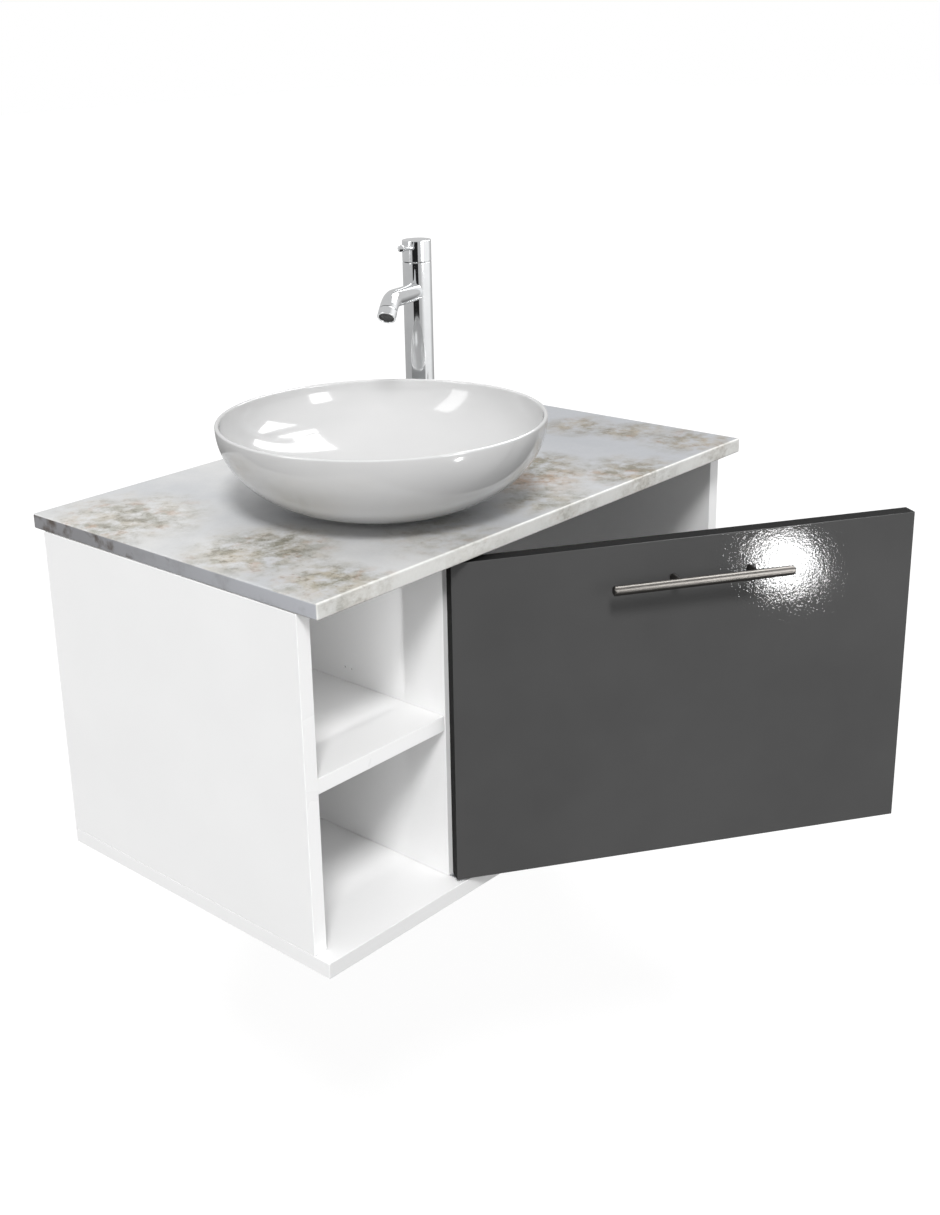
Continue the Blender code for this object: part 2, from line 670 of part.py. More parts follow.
def make_drain():
    seat = BASIN_FLOOR + GAP
    inner = DRAIN_RADIUS - DRAIN_WALL
    end = DRAIN_END - seat
    profile = [
        (inner + 0.001, FLANGE_THICKNESS),
        (FLANGE_RADIUS - 0.001, FLANGE_THICKNESS),
        (FLANGE_RADIUS, FLANGE_THICKNESS * 0.5),
        (FLANGE_RADIUS, 0.0),
        (DRAIN_RADIUS, 0.0),
        (DRAIN_RADIUS, end),
        (inner, end),
        (inner, FLANGE_THICKNESS - 0.001),
    ]
    place = Vector((BASIN_X, BASIN_Y, seat))
    body = lathe("drain_body", profile, "chrome", 40, place=place)
    # A cross inside the tube guides the plug's stem.
    guide_bore = PLUG_STEM_RADIUS + PIN_CLEARANCE
    low = Matrix.Translation(place + Vector((0, 0, -GUIDE_DEPTH)))
    merge(body, rod_mesh(guide_bore + GUIDE_WALL, GUIDE_LENGTH, segments=24), low)
    middle = place + Vector((0, 0, -GUIDE_DEPTH + GUIDE_LENGTH / 2))
    long = 2 * (inner + DRAIN_WALL / 2)
    for size in ((long, SPOKE_WIDTH, GUIDE_LENGTH * 0.7), (SPOKE_WIDTH, long, GUIDE_LENGTH * 0.7)):
        merge(body, box_mesh(size), Matrix.Translation(middle))
    bore = rod_mesh(guide_bore, GUIDE_LENGTH + 0.004, segments=24)
    cut(body, bore, Matrix.Translation(place + Vector((0, 0, -GUIDE_DEPTH - 0.002))))
    under = WORKTOP_BOTTOM - GAP - NUT_HEIGHT
    nut_place = (BASIN_X, BASIN_Y, under)
    hex_nut("drain_nut", NUT_RADIUS, DRAIN_RADIUS + PIN_CLEARANCE, NUT_HEIGHT, nut_place, "brass")


def make_plug():
    top = PLUG_THICKNESS
    profile = [
        (0.0, top),
        (PLUG_RADIUS * 0.5, top - 0.0003),
        (PLUG_RADIUS * 0.88, top - 0.0012),
        (PLUG_RADIUS, top * 0.35),
        (PLUG_RADIUS, 0.0),
        (PLUG_STEM_RADIUS, 0.0),
        (PLUG_STEM_RADIUS, -PLUG_STEM_LENGTH),
        (0.0, -PLUG_STEM_LENGTH),
    ]
    base = BASIN_FLOOR + GAP + FLANGE_THICKNESS + GAP
    lathe("drain_plug", profile, "chrome", 40, closed=False, place=(BASIN_X, BASIN_Y, base))


def make_trap():
    centre = (BASIN_X, BASIN_Y, 0.0)
    inner = DRAIN_RADIUS - DRAIN_WALL
    pipe = TRAP_PIPE_RADIUS
    nut_low = DRAIN_END - TRAP_NUT_HEIGHT * 0.4
    nut = [
        (TRAP_NUT_RADIUS, nut_low + TRAP_NUT_HEIGHT),
        (TRAP_NUT_RADIUS, nut_low),
        (pipe + PIN_CLEARANCE, nut_low),
        (pipe + PIN_CLEARANCE, DRAIN_END - 2 * GAP),
        (DRAIN_RADIUS + PIN_CLEARANCE, DRAIN_END - 2 * GAP),
        (DRAIN_RADIUS + PIN_CLEARANCE, nut_low + TRAP_NUT_HEIGHT),
    ]
    lathe("trap_inlet_nut", nut, "chrome", 40, place=centre)
    pipe_top = DRAIN_END + min(0.016, inner)
    low = TRAP_BODY_TOP - TRAP_BODY_HEIGHT
    shell = TRAP_BODY_RADIUS
    profile = [
        (pipe, pipe_top),
        (pipe, TRAP_BODY_TOP + 0.006),
        (shell - 0.006, TRAP_BODY_TOP),
        (shell, TRAP_BODY_TOP - 0.006),
        (shell, low),
        (shell - TRAP_BODY_WALL, low),
        (shell - TRAP_BODY_WALL, TRAP_BODY_TOP - 0.008),
        (pipe - TRAP_PIPE_WALL, TRAP_BODY_TOP - 0.002),
        (pipe - TRAP_PIPE_WALL, pipe_top),
    ]
    body = lathe("trap_body", profile, "chrome", 40, place=centre)
    stub_end = shell + OUTLET_STUB
    start = Vector((BASIN_X, BASIN_Y + shell - TRAP_BODY_WALL / 2, OUTLET_Z))
    stub = rod_mesh(pipe + 0.004, stub_end - shell + TRAP_BODY_WALL / 2, segments=36)
    merge(body, stub, along((0, 1, 0), start))
    stub_bore = rod_mesh(pipe + PIN_CLEARANCE, stub_end - shell + 0.02, segments=36)
    cut(body, stub_bore, along((0, 1, 0), start - Vector((0, 0.008, 0))))
    cup_top = low + TRAP_CUP_LAP
    cup_low = cup_top - TRAP_CUP_HEIGHT
    fit = shell + PIN_CLEARANCE
    cup = [
        (0.0, cup_low + 0.003),
        (fit - 0.008, cup_low + 0.003),
        (fit, cup_low + 0.013),
        (fit, cup_top),
        (TRAP_CUP_RADIUS, cup_top),
        (TRAP_CUP_RADIUS, cup_low + 0.012),
        (TRAP_CUP_RADIUS - 0.008, cup_low),
        (0.0, cup_low),
    ]
    lathe("trap_cup", cup, "chrome", 36, closed=False, place=centre)
    make_waste_pipe(BASIN_Y + stub_end)


def make_waste_pipe(stub_face):
    pipe = TRAP_PIPE_RADIUS
    start = stub_face - OUTLET_LAP
    length = -GAP - start
    made = lathe(
        "waste_pipe",
        ring_profile(pipe, pipe - TRAP_PIPE_WALL, 0.0, length),
        "chrome",
        36,
    )
    made.matrix_local = along((0, 1, 0), (BASIN_X, start, OUTLET_Z))
    collar = TRAP_NUT_HEIGHT
    nut = [
        (pipe + 0.0095, 0.0),
        (pipe + 0.0095, -collar),
        (pipe + 0.0043, -collar),
        (pipe + 0.0043, -0.006),
        (pipe + PIN_CLEARANCE, -0.006),
        (pipe + PIN_CLEARANCE, 0.0),
    ]
    ring = lathe("trap_outlet_nut", nut, "chrome", 36)
    ring.matrix_local = along((0, 1, 0), (BASIN_X, stub_face + 0.006 + GAP, OUTLET_Z))
    rosette = [
        (pipe + 0.004, ROSETTE_THICKNESS),
        (ROSETTE_RADIUS - 0.003, 0.003),
        (ROSETTE_RADIUS, 0.0),
        (pipe + PIN_CLEARANCE, 0.0),
        (pipe + PIN_CLEARANCE, ROSETTE_THICKNESS),
    ]
    plate = lathe("wall_rosette", rosette, "chrome", 36)
    plate.matrix_local = along((0, -1, 0), (BASIN_X, -GAP, OUTLET_Z))


# ---- Tap -------------------------------------------------------------------------------------------
def tap_point(reach, height):
    """A point in the tap's own upright plane: reach towards the basin, height over its base."""
    return Vector(
        (
            TAP_X + reach * math.cos(TAP_TURN),
            TAP_Y + reach * math.sin(TAP_TURN),
            TAP_BASE + height,
        )
    )


def tap_frame(height):
    """The tap's axis at a height, with +X towards the basin."""
    return Matrix.Translation((TAP_X, TAP_Y, TAP_BASE + height)) @ Matrix.Rotation(TAP_TURN, 4, "Z")


def make_tap_body():
    bore = TAP_RADIUS - TAP_WALL
    profile = [
        (0.0, TAP_BASE_HEIGHT),
        (bore, TAP_BASE_HEIGHT),
        (bore, TAP_BODY_HEIGHT),
        (TAP_RADIUS, TAP_BODY_HEIGHT),
        (TAP_RADIUS, TAP_FLANGE_HEIGHT),
        (TAP_FLANGE_RADIUS - 0.001, TAP_FLANGE_HEIGHT),
        (TAP_FLANGE_RADIUS, TAP_FLANGE_HEIGHT - 0.001),
        (TAP_FLANGE_RADIUS, 0.0),
        (0.0, 0.0),
    ]
    place = (TAP_X, TAP_Y, TAP_BASE)
    body = lathe("tap_body", profile, "chrome", 44, closed=False, place=place)
    points, _ = spout_path(bore - 0.003)
    wall = along(points[1] - points[0], points[0])
    cut(body, rod_mesh(SPOUT_RADIUS + SPOUT_CLEARANCE, TAP_WALL + 0.006, segments=32), wall)
    seal = ring_profile(TAP_FLANGE_RADIUS - 0.001, TAP_HOLE_RADIUS + 0.0005, 0.0, TAP_SEAL_THICKNESS)
    lathe("tap_seal", seal, "rubber", 40, place=(TAP_X, TAP_Y, WORKTOP + GAP))
    return body


def spout_path(start, end_extra=0.0):
    """The spout's centre line: nearly level, then an arc down to the outlet's tilt."""
    slope = SPOUT_RISE / (SPOUT_BEND_START - TAP_RADIUS)
    rise = math.atan(slope)
    turn = SPOUT_TILT + rise
    radius = (SPOUT_REACH - SPOUT_BEND_START) / (math.sin(SPOUT_TILT) + math.sin(rise))
    points = [tap_point(start, SPOUT_HEIGHT + slope * (start - TAP_RADIUS))]
    bend = (SPOUT_BEND_START, SPOUT_HEIGHT + SPOUT_RISE)
    centre = (bend[0] + radius * math.sin(rise), bend[1] - radius * math.cos(rise))
    steps = 10
    for step in range(steps + 1):
        angle = rise - turn * step / steps
        points.append(tap_point(centre[0] - radius * math.sin(angle), centre[1] + radius * math.cos(angle)))
    direction = tap_point(math.cos(SPOUT_TILT), -math.sin(SPOUT_TILT)) - tap_point(0.0, 0.0)
    points.append(points[-1] + direction * (SPOUT_END + end_extra))
    return points, direction


def make_spout():
    bore = TAP_RADIUS - TAP_WALL
    outer, direction = spout_path(bore - 0.001)
    inner, _ = spout_path(bore - 0.006, 0.004)
    spout = add("tap_spout", tube_path_mesh(outer, SPOUT_RADIUS, 12), "chrome")
    cut(spout, tube_path_mesh(inner, SPOUT_RADIUS - SPOUT_WALL, 8))
    stub = SPOUT_RADIUS - SPOUT_WALL - AERATOR_CLEARANCE
    face = AERATOR_RADIUS - 0.0022
    profile = [
        (0.0, 0.005),
        (stub, 0.005),
        (stub, 0.0),
        (AERATOR_RADIUS - 0.0006, 0.0),
        (AERATOR_RADIUS, -0.0006),
        (AERATOR_RADIUS, -AERATOR_LENGTH + 0.001),
        (AERATOR_RADIUS - 0.001, -AERATOR_LENGTH),
        (face, -AERATOR_LENGTH),
        (face, -AERATOR_LENGTH + AERATOR_RECESS),
        (0.0, -AERATOR_LENGTH + AERATOR_RECESS),
    ]
    aerator = lathe("aerator", profile, "chrome", 36, closed=False)
    aerator.matrix_local = along(-direction, outer[-1] + direction * GAP)


def make_cartridge():
    """The valve, pressed into the body, and the stem that turns on it."""
    top = TAP_BODY_HEIGHT - CARTRIDGE_DROP
    radius = TAP_RADIUS - TAP_WALL - PIN_CLEARANCE
    profile = [
        (0.0, top),
        (radius - 0.001, top),
        (radius, top - 0.001),
        (radius, top - CARTRIDGE_HEIGHT),
        (0.0, top - CARTRIDGE_HEIGHT),
    ]
    place = (TAP_X, TAP_Y, TAP_BASE)
    lathe("cartridge", profile, "white_plastic", 36, closed=False, place=place)
    low = top + GAP
    stem = [
        (0.0, low + STEM_HEIGHT),
        (STEM_RADIUS - 0.001, low + STEM_HEIGHT),
        (STEM_RADIUS, low + STEM_HEIGHT - 0.001),
        (STEM_RADIUS, low + 0.003),
        (STEM_RADIUS + 0.003, low + 0.003),
        (STEM_RADIUS + 0.003, low),
        (0.0, low),
    ]
    lathe("cartridge_stem", stem, "brass", 28, closed=False, place=place)


def make_handle_cap():
    """The cap that covers the stem, with the pin lever in its solid upper half."""
    low = TAP_BODY_HEIGHT + CAP_GAP
    high = low + CAP_HEIGHT
    ceiling = low + CAP_CAVITY
    bore = TAP_RADIUS - CAP_WALL
    profile = [
        (0.0, high),
        (TAP_RADIUS - 0.0015, high),
        (TAP_RADIUS - 0.0004, high - 0.0004),
        (TAP_RADIUS, high - 0.0015),
        (TAP_RADIUS, low),
        (bore, low),
        (bore, ceiling),
        (0.0, ceiling),
    ]
    cap = lathe("tap_cap", profile, "chrome", 44, closed=False, place=(TAP_X, TAP_Y, TAP_BASE))
    out = tap_point(math.cos(LEVER_RISE), math.sin(LEVER_RISE)) - tap_point(0.0, 0.0)
    middle = tap_point(0.0, LEVER_HEIGHT)
    root = (TAP_RADIUS - LEVER_SEAT) / math.cos(LEVER_RISE)
    seat = along(out, middle + out * (root - GAP))
    cut(cap, rod_mesh(LEVER_RADIUS + PIN_CLEARANCE, LEVER_SEAT + 0.006, segments=24), seat)
    end = LEVER_REACH / math.cos(LEVER_RISE) - root
    knob = end - LEVER_KNOB_LENGTH
    profile = [
        (0.0, end),
        (LEVER_KNOB_RADIUS - 0.001, end),
        (LEVER_KNOB_RADIUS, end - 0.001),
        (LEVER_KNOB_RADIUS, knob + 0.001),
        (LEVER_KNOB_RADIUS - 0.001, knob),
        (LEVER_RADIUS, knob),
        (LEVER_RADIUS, 0.0),
        (0.0, 0.0),
    ]
    lever = lathe("lever_pin", profile, "chrome", 28, closed=False)
    lever.matrix_local = along(out, middle + out * root)


def make_tap_fixing(body):
    """Two inlet tails and one stud hang from the tap's base; a plate and a nut clamp the worktop."""
    frame = tap_frame(0.0)
    for label, side in (("hot", 1), ("cold", -1)):
        start = frame @ Vector((0.004, side * TAIL_SPACING / 2, 0.010))
        drop = start.z - WORKTOP_BOTTOM + TAIL_DROP
        thread = [
            (TAIL_RADIUS, 0.0),
            (TAIL_RADIUS, -drop + COUPLING_LENGTH),
            (COUPLING_RADIUS * 0.75, -drop + COUPLING_LENGTH - 0.001),
            (COUPLING_RADIUS * 0.75, -drop),
            (TAIL_RADIUS - 0.0015, -drop),
            (TAIL_RADIUS - 0.0015, 0.0),
        ]
        lathe(f"inlet_tail_{label}", thread, "brass", 28, place=start)
        hole(body, TAIL_RADIUS + PIN_CLEARANCE, (start.x, start.y, TAP_BASE), (0, 0, 1), 0.0105, 24)
    stud = frame @ Vector((-STUD_OFFSET, 0.0, 0.010))
    length = stud.z - WORKTOP_BOTTOM + STUD_DROP
    rod = add("tap_stud", rod_mesh(STUD_RADIUS, length, segments=20), "zinc", stud)
    rod.rotation_euler = (math.pi, 0.0, 0.0)
    hole(body, STUD_RADIUS + PIN_CLEARANCE, (stud.x, stud.y, TAP_BASE), (0, 0, 1), 0.0105, 20)
    clamp_low = WORKTOP_BOTTOM - GAP - CLAMP_THICKNESS
    clamp = add("tap_clamp", rod_mesh(CLAMP_RADIUS, CLAMP_THICKNESS, segments=40), "zinc")
    clamp.location = (TAP_X, TAP_Y, clamp_low)
    middle = frame.copy()
    middle.translation.z = clamp_low
    # The clamp is a horseshoe: its slot clears both tails.
    slot_size = (CLAMP_RADIUS + 0.004, TAIL_SPACING + 2 * TAIL_RADIUS + 0.002, 0.02)
    slot = box_mesh(slot_size, (CLAMP_RADIUS / 2 - 0.001, 0, 0))
    cut(clamp, slot, middle)
    bore = rod_mesh(STUD_RADIUS + PIN_CLEARANCE, 0.02, Matrix.Translation((0, 0, -0.01)), segments=20)
    cut(clamp, bore, Matrix.Translation((stud.x, stud.y, clamp_low)))
    nut_place = (stud.x, stud.y, clamp_low - GAP - TAP_NUT_HEIGHT)
    hex_nut("tap_nut", TAP_NUT_RADIUS, STUD_RADIUS + PIN_CLEARANCE, TAP_NUT_HEIGHT, nut_place, "brass")


# ---- The whole object --------------------------------------------------------------------------------
def main():
    left, divider, back = make_panels()
    make_rails()
    make_shelf(left, divider)
    make_wall_fixing(back)
    pivot = make_door_pivot()
    panel = make_door(pivot)
    make_pivot_brackets(divider)
    make_handle(pivot, panel)
    make_worktop()
    make_basin()
    make_drain()
    make_plug()
    make_trap()
    body = make_tap_body()
    make_spout()
    make_cartridge()
    make_handle_cap()
    make_tap_fixing(body)
    bpy.context.view_layer.update()


main()
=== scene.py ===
# %% [markdown]
# # A wall-hung vanity with a vessel sink
# The engineering model gives every board, fitting and joint its exact place. This notebook dresses
# it: smooth glazed and chromed shapes, a marble worktop, gloss lacquer and a soft white studio.
# The first cell loads that model, so it runs before anything else is made.

# %% Load the frame
import json
import math

import bmesh
import bpy
from mathutils import Matrix, Vector


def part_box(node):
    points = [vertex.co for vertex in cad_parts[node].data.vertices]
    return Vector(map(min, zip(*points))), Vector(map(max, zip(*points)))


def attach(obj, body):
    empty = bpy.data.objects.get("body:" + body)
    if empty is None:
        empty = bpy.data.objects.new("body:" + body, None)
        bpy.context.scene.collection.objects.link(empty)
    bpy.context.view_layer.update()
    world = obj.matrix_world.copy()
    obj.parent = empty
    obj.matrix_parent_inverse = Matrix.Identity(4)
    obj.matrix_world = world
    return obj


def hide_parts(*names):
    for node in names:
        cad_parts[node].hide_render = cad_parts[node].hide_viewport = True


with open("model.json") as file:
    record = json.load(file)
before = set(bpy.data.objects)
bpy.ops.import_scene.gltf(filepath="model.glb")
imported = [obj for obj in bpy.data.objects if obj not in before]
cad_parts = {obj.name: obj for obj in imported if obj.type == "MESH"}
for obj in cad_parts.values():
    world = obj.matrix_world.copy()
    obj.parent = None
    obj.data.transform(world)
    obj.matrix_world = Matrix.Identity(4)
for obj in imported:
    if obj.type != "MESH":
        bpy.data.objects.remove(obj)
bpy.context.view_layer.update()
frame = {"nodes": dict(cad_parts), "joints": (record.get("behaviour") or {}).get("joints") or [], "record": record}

joints = {joint["name"]: joint for joint in frame["joints"]}

# %% [markdown]
# ## Camera
# A long lens from the front left, a little above the worktop, keeps the boards nearly parallel.
# Yaw, pitch and roll are turned into the camera's own axes: right, up and backwards.

# %% Camera
camera_place = Vector((-1.4055, -1.5714, 1.0040))
yaw, pitch, roll = 0.7781, -0.3241, -0.0434
ahead = Vector((math.sin(yaw) * math.cos(pitch), math.cos(yaw) * math.cos(pitch), math.sin(pitch)))
level_right = Vector((math.cos(yaw), -math.sin(yaw), 0.0))
level_up = level_right.cross(ahead)
right = math.cos(roll) * level_right + math.sin(roll) * level_up
up = math.cos(roll) * level_up - math.sin(roll) * level_right
lens = bpy.data.cameras.new("camera")
lens.lens = 46.04
lens.shift_x = 0.0993
lens.shift_y = -0.0536
camera = bpy.data.objects.new("camera", lens)
camera_turn = Matrix((right, up, -ahead)).transposed().to_4x4()
camera.matrix_world = Matrix.Translation(camera_place) @ camera_turn
bpy.context.scene.collection.objects.link(camera)
bpy.context.scene.camera = camera
print("camera", tuple(round(value, 3) for value in camera_place))

# %% [markdown]
# ## Node helpers
# Each finish is a Principled shader with patterns wired into it. `node` makes one node, sets its
# options and inputs, and links any input that is given another node's socket. Inputs that share a
# name are given by number, as i0, i1 and so on. Patterns are placed in metres on the object.


# %% Node helpers
def node(tree, kind, options=None, **inputs):
    made = tree.nodes.new(kind)
    for key, value in (options or {}).items():
        setattr(made, key, value)
    for key, value in inputs.items():
        by_number = key[0] == "i" and key[1:].isdigit()
        socket = made.inputs[int(key[1:])] if by_number else made.inputs[key]
        if isinstance(value, bpy.types.NodeSocket):
            tree.links.new(value, socket)
        else:
            socket.default_value = value
    return made


def finish(name, colour, roughness, metallic=0.0, **sockets):
    made = bpy.data.materials.new(name)
    made.use_nodes = True
    shader = made.node_tree.nodes["Principled BSDF"]
    shader.inputs["Base Color"].default_value = (*colour, 1.0)
    shader.inputs["Roughness"].default_value = roughness
    shader.inputs["Metallic"].default_value = metallic
    for key, value in sockets.items():
        shader.inputs[key.replace("_", " ")].default_value = value
    return made, made.node_tree, shader


def place_of(tree, stretch=(1.0, 1.0, 1.0), turn=(0.0, 0.0, 0.0)):
    where = node(tree, "ShaderNodeTexCoord").outputs["Object"]
    mapping = node(tree, "ShaderNodeMapping", Vector=where, Scale=stretch, Rotation=turn)
    return mapping.outputs["Vector"]


def noise(tree, vector, scale, detail=4.0, roughness=0.55):
    settings = {"Vector": vector, "Scale": scale, "Detail": detail, "Roughness": roughness}
    return node(tree, "ShaderNodeTexNoise", **settings).outputs["Fac"]


def spread(tree, value, low, high, new_low=0.0, new_high=1.0):
    """Stretches low..high over new_low..new_high and holds the value at both ends."""
    old_range = {"From Min": low, "From Max": high}
    new_range = {"To Min": new_low, "To Max": new_high}
    made = node(tree, "ShaderNodeMapRange", Value=value, **old_range, **new_range)
    return made.outputs["Result"]


def sums(tree, operation, first, second):
    made = node(tree, "ShaderNodeMath", {"operation": operation}, i0=first, i1=second)
    return made.outputs["Value"]


def vectors(tree, operation, result, **inputs):
    made = node(tree, "ShaderNodeVectorMath", {"operation": operation}, **inputs)
    return made.outputs[result]


def blend_colour(tree, amount, first, second):
    made = node(tree, "ShaderNodeMix", {"data_type": "RGBA"}, i0=amount)
    for socket, value in ((made.inputs[6], first), (made.inputs[7], second)):
        if isinstance(value, bpy.types.NodeSocket):
            tree.links.new(value, socket)
        else:
            socket.default_value = (*value, 1.0)
    return made.outputs[2]


def bump(tree, shader, height, distance, strength=1.0):
    made = node(tree, "ShaderNodeBump", Height=height, Distance=distance, Strength=strength)
    tree.links.new(made.outputs["Normal"], shader.inputs["Normal"])


def wire(tree, value, shader, name):
    tree.links.new(value, shader.inputs[name])


def varied_colour(tree, shader, pattern, first, second, low=0.35, high=0.65):
    """A base colour that drifts between two tones with a pattern."""
    amount = spread(tree, pattern, low, high)
    wire(tree, blend_colour(tree, amount, first, second), shader, "Base Color")


def varied_roughness(tree, shader, pattern, first, second):
    wire(tree, spread(tree, pattern, 0.3, 0.7, first, second), shader, "Roughness")


# %% [markdown]
# ## White board
# Melamine-faced board is matt to satin white with a very fine pearl grain pressed into it. A flat
# white would look like paper, so the grain gets a slight bump and the sheen varies across a board.


# %% White board, its painted-light front white and a grey front
def board_finish(name, colour, roughness):
    made, tree, shader = finish(name, colour, roughness, Specular_IOR_Level=0.35)
    where = place_of(tree)
    cloud = noise(tree, where, 9.0, 3.0)
    darker = tuple(channel * 0.988 for channel in colour)
    varied_colour(tree, shader, cloud, darker, colour)
    varied_roughness(tree, shader, cloud, roughness - 0.06, roughness + 0.06)
    bump(tree, shader, noise(tree, where, 2400.0, 2.0), 0.00003, 0.5)
    return made


# Painted light: the lighter white stands in for the light that faces towards the room catch.
white_board = board_finish("white_melamine", (0.87, 0.87, 0.87), 0.42)
painted_light_front = board_finish("white_front_painted_light", (0.93, 0.93, 0.93), 0.30)
# A darker grey for the front of the bottom board.
grey_bottom_front = board_finish("grey_bottom_front_face", (0.78, 0.78, 0.78), 0.40)
print("white board and edge band ready")

# %% [markdown]
# ## Dark lacquer
# The door is sprayed dark grey and polished. Real lacquer is never a perfect mirror: it has a faint
# ripple, called orange peel, and a few dust nibs. Its cut edges are duller, so they get their own
# finish.

# %% Dark gloss lacquer and its duller edge
lacquer, tree, shader = finish(
    "grey_gloss_lacquer", (0.065, 0.065, 0.065), 0.05, IOR=1.45, Specular_IOR_Level=0.28
)
where = place_of(tree)
cloud = noise(tree, where, 6.0, 3.0)
varied_colour(tree, shader, cloud, (0.062, 0.062, 0.062), (0.069, 0.069, 0.069))
nibs = noise(tree, where, 420.0, 2.0, 0.6)
wire(tree, spread(tree, nibs, 0.30, 0.75, 0.012, 0.030), shader, "Roughness")
peel = sums(tree, "ADD", noise(tree, where, 120.0, 2.0), nibs)
bump(tree, shader, peel, 0.00010, 0.6)

lacquer_edge, tree, shader = finish(
    "grey_lacquer_edge", (0.011, 0.011, 0.011), 0.50, Specular_IOR_Level=0.02
)
grain = noise(tree, place_of(tree), 900.0, 3.0)
varied_roughness(tree, shader, grain, 0.38, 0.55)
bump(tree, shader, grain, 0.00005, 0.4)
print("lacquer ready")

# %% [markdown]
# ## Marble
# The worktop is off-white stone with clouds of olive, beige and rust that gather in a few places
# and leave other areas almost clean. One noise can't be patchy in that way, so soft round patches
# say where colour may appear, and several noises break each patch into streaks and specks. The
# patches lie on the worktop's top, in metres.

# %% Marble worktop
PATCHES = [  # where colour gathers: x, y, radius and how strong it is
    (-0.345, -0.110, 0.120, 0.80),
    (-0.320, -0.330, 0.105, 0.95),
    (-0.345, -0.465, 0.080, 1.00),
    (-0.150, -0.455, 0.100, 0.45),
    (0.020, -0.470, 0.075, 0.80),
    (0.085, -0.395, 0.095, 1.00),
    (0.150, -0.360, 0.060, 1.00),
    (0.180, -0.470, 0.080, 1.00),
    (0.330, -0.285, 0.065, 1.00),
    (0.345, -0.360, 0.055, 1.00),
    (0.345, -0.455, 0.080, 1.00),
    (0.250, -0.110, 0.120, 0.60),
]
WORKTOP_TOP = 0.437
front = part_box("countertop")[0].y
DRIFT = 0.07  # how far the edge of a patch wanders, in metres
RUST_MIDDLE = (0.075, -0.395, WORKTOP_TOP)
marble, tree, shader = finish("marble", (0.58, 0.58, 0.58), 0.40, Specular_IOR_Level=0.22)
where = place_of(tree)
width_way, depth_way, _ = node(tree, "ShaderNodeSeparateXYZ", Vector=where).outputs
drift = node(tree, "ShaderNodeTexNoise", Vector=where, Scale=14.0, Detail=5.0, Roughness=0.6)
wander = drift.outputs["Color"]
warped = vectors(tree, "MULTIPLY_ADD", "Vector", i0=wander, i1=(DRIFT,) * 3, i2=where)
patchy = None
for x, y, radius, strength in PATCHES:
    centre = (x + DRIFT / 2, y + DRIFT / 2, WORKTOP_TOP + DRIFT / 2)
    away = vectors(tree, "DISTANCE", "Value", i0=warped, i1=centre)
    patch = spread(tree, away, radius * 0.35, radius, strength, 0.0)
    patchy = patch if patchy is None else sums(tree, "MAXIMUM", patchy, patch)
edge_start, edge_end = front + 0.001, front + 0.003
patchy = sums(tree, "MULTIPLY", patchy, spread(tree, depth_way, edge_start, edge_end, 0.55, 1.0))

# The stone: off-white, greyer to the right (partly darker stone, partly painted shade), and painted light along
# the front edge.
pale = spread(tree, noise(tree, where, 5.0, 5.0, 0.6), 0.35, 0.65)
base = blend_colour(tree, pale, (0.46, 0.47, 0.485), (0.58, 0.58, 0.575))
# Painted shade, partly real: the stone greys towards the right.
base = blend_colour(tree, spread(tree, width_way, 0.0, 0.26), base, (0.37, 0.38, 0.40))
# Painted light: the front edge is made lighter than the stone on top.
front_painted_light = spread(tree, depth_way, edge_start, edge_end, 1.0, 0.0)
base = blend_colour(tree, front_painted_light, base, (0.70, 0.70, 0.68))

# What stains it: olive to beige, with rust in places, darker to the right, partly darker marbling and partly
# painted shade.
flat = place_of(tree, (1.0, 1.0, 1.6), (0.0, 0.0, 0.6))
streaks = noise(tree, flat, 46.0, 9.0, 0.68)
specks = noise(tree, flat, 120.0, 7.0, 0.68)
colouring = sums(tree, "MULTIPLY", patchy, spread(tree, streaks, 0.38, 0.56))
hue = noise(tree, where, 21.0, 4.0, 0.6)
stain = blend_colour(tree, spread(tree, hue, 0.40, 0.60), (0.25, 0.24, 0.19), (0.44, 0.40, 0.33))
rust = spread(tree, noise(tree, flat, 30.0, 5.0, 0.6), 0.57, 0.66, 0.0, 0.8)
from_rust = vectors(tree, "DISTANCE", "Value", i0=where, i1=RUST_MIDDLE)
rust_here = spread(tree, from_rust, 0.02, 0.09, 0.9, 0.0)
rust_here = sums(tree, "MULTIPLY", rust_here, spread(tree, hue, 0.40, 0.55))
stain = blend_colour(tree, sums(tree, "MAXIMUM", rust, rust_here), stain, (0.43, 0.29, 0.20))
# Painted shade, partly real: the stains darken towards the right.
darker = spread(tree, width_way, 0.0, 0.26, 0.0, 0.45)
stain = blend_colour(tree, darker, stain, (0.16, 0.13, 0.10))
stained = blend_colour(tree, colouring, base, stain)
dark_bits = spread(tree, sums(tree, "MULTIPLY", streaks, specks), 0.275, 0.36)
dark_bits = sums(tree, "MULTIPLY", sums(tree, "MULTIPLY", dark_bits, patchy), 0.75)
speckled = blend_colour(tree, dark_bits, stained, (0.17, 0.16, 0.13))
fine = spread(tree, noise(tree, where, 260.0, 2.0), 0.35, 0.65, 0.985, 1.015)
wire(tree, vectors(tree, "SCALE", "Vector", i0=speckled, Scale=fine), shader, "Base Color")
varied_roughness(tree, shader, noise(tree, where, 30.0, 2.0), 0.34, 0.44)
bump(tree, shader, noise(tree, where, 40.0, 1.0), 0.00006, 0.3)

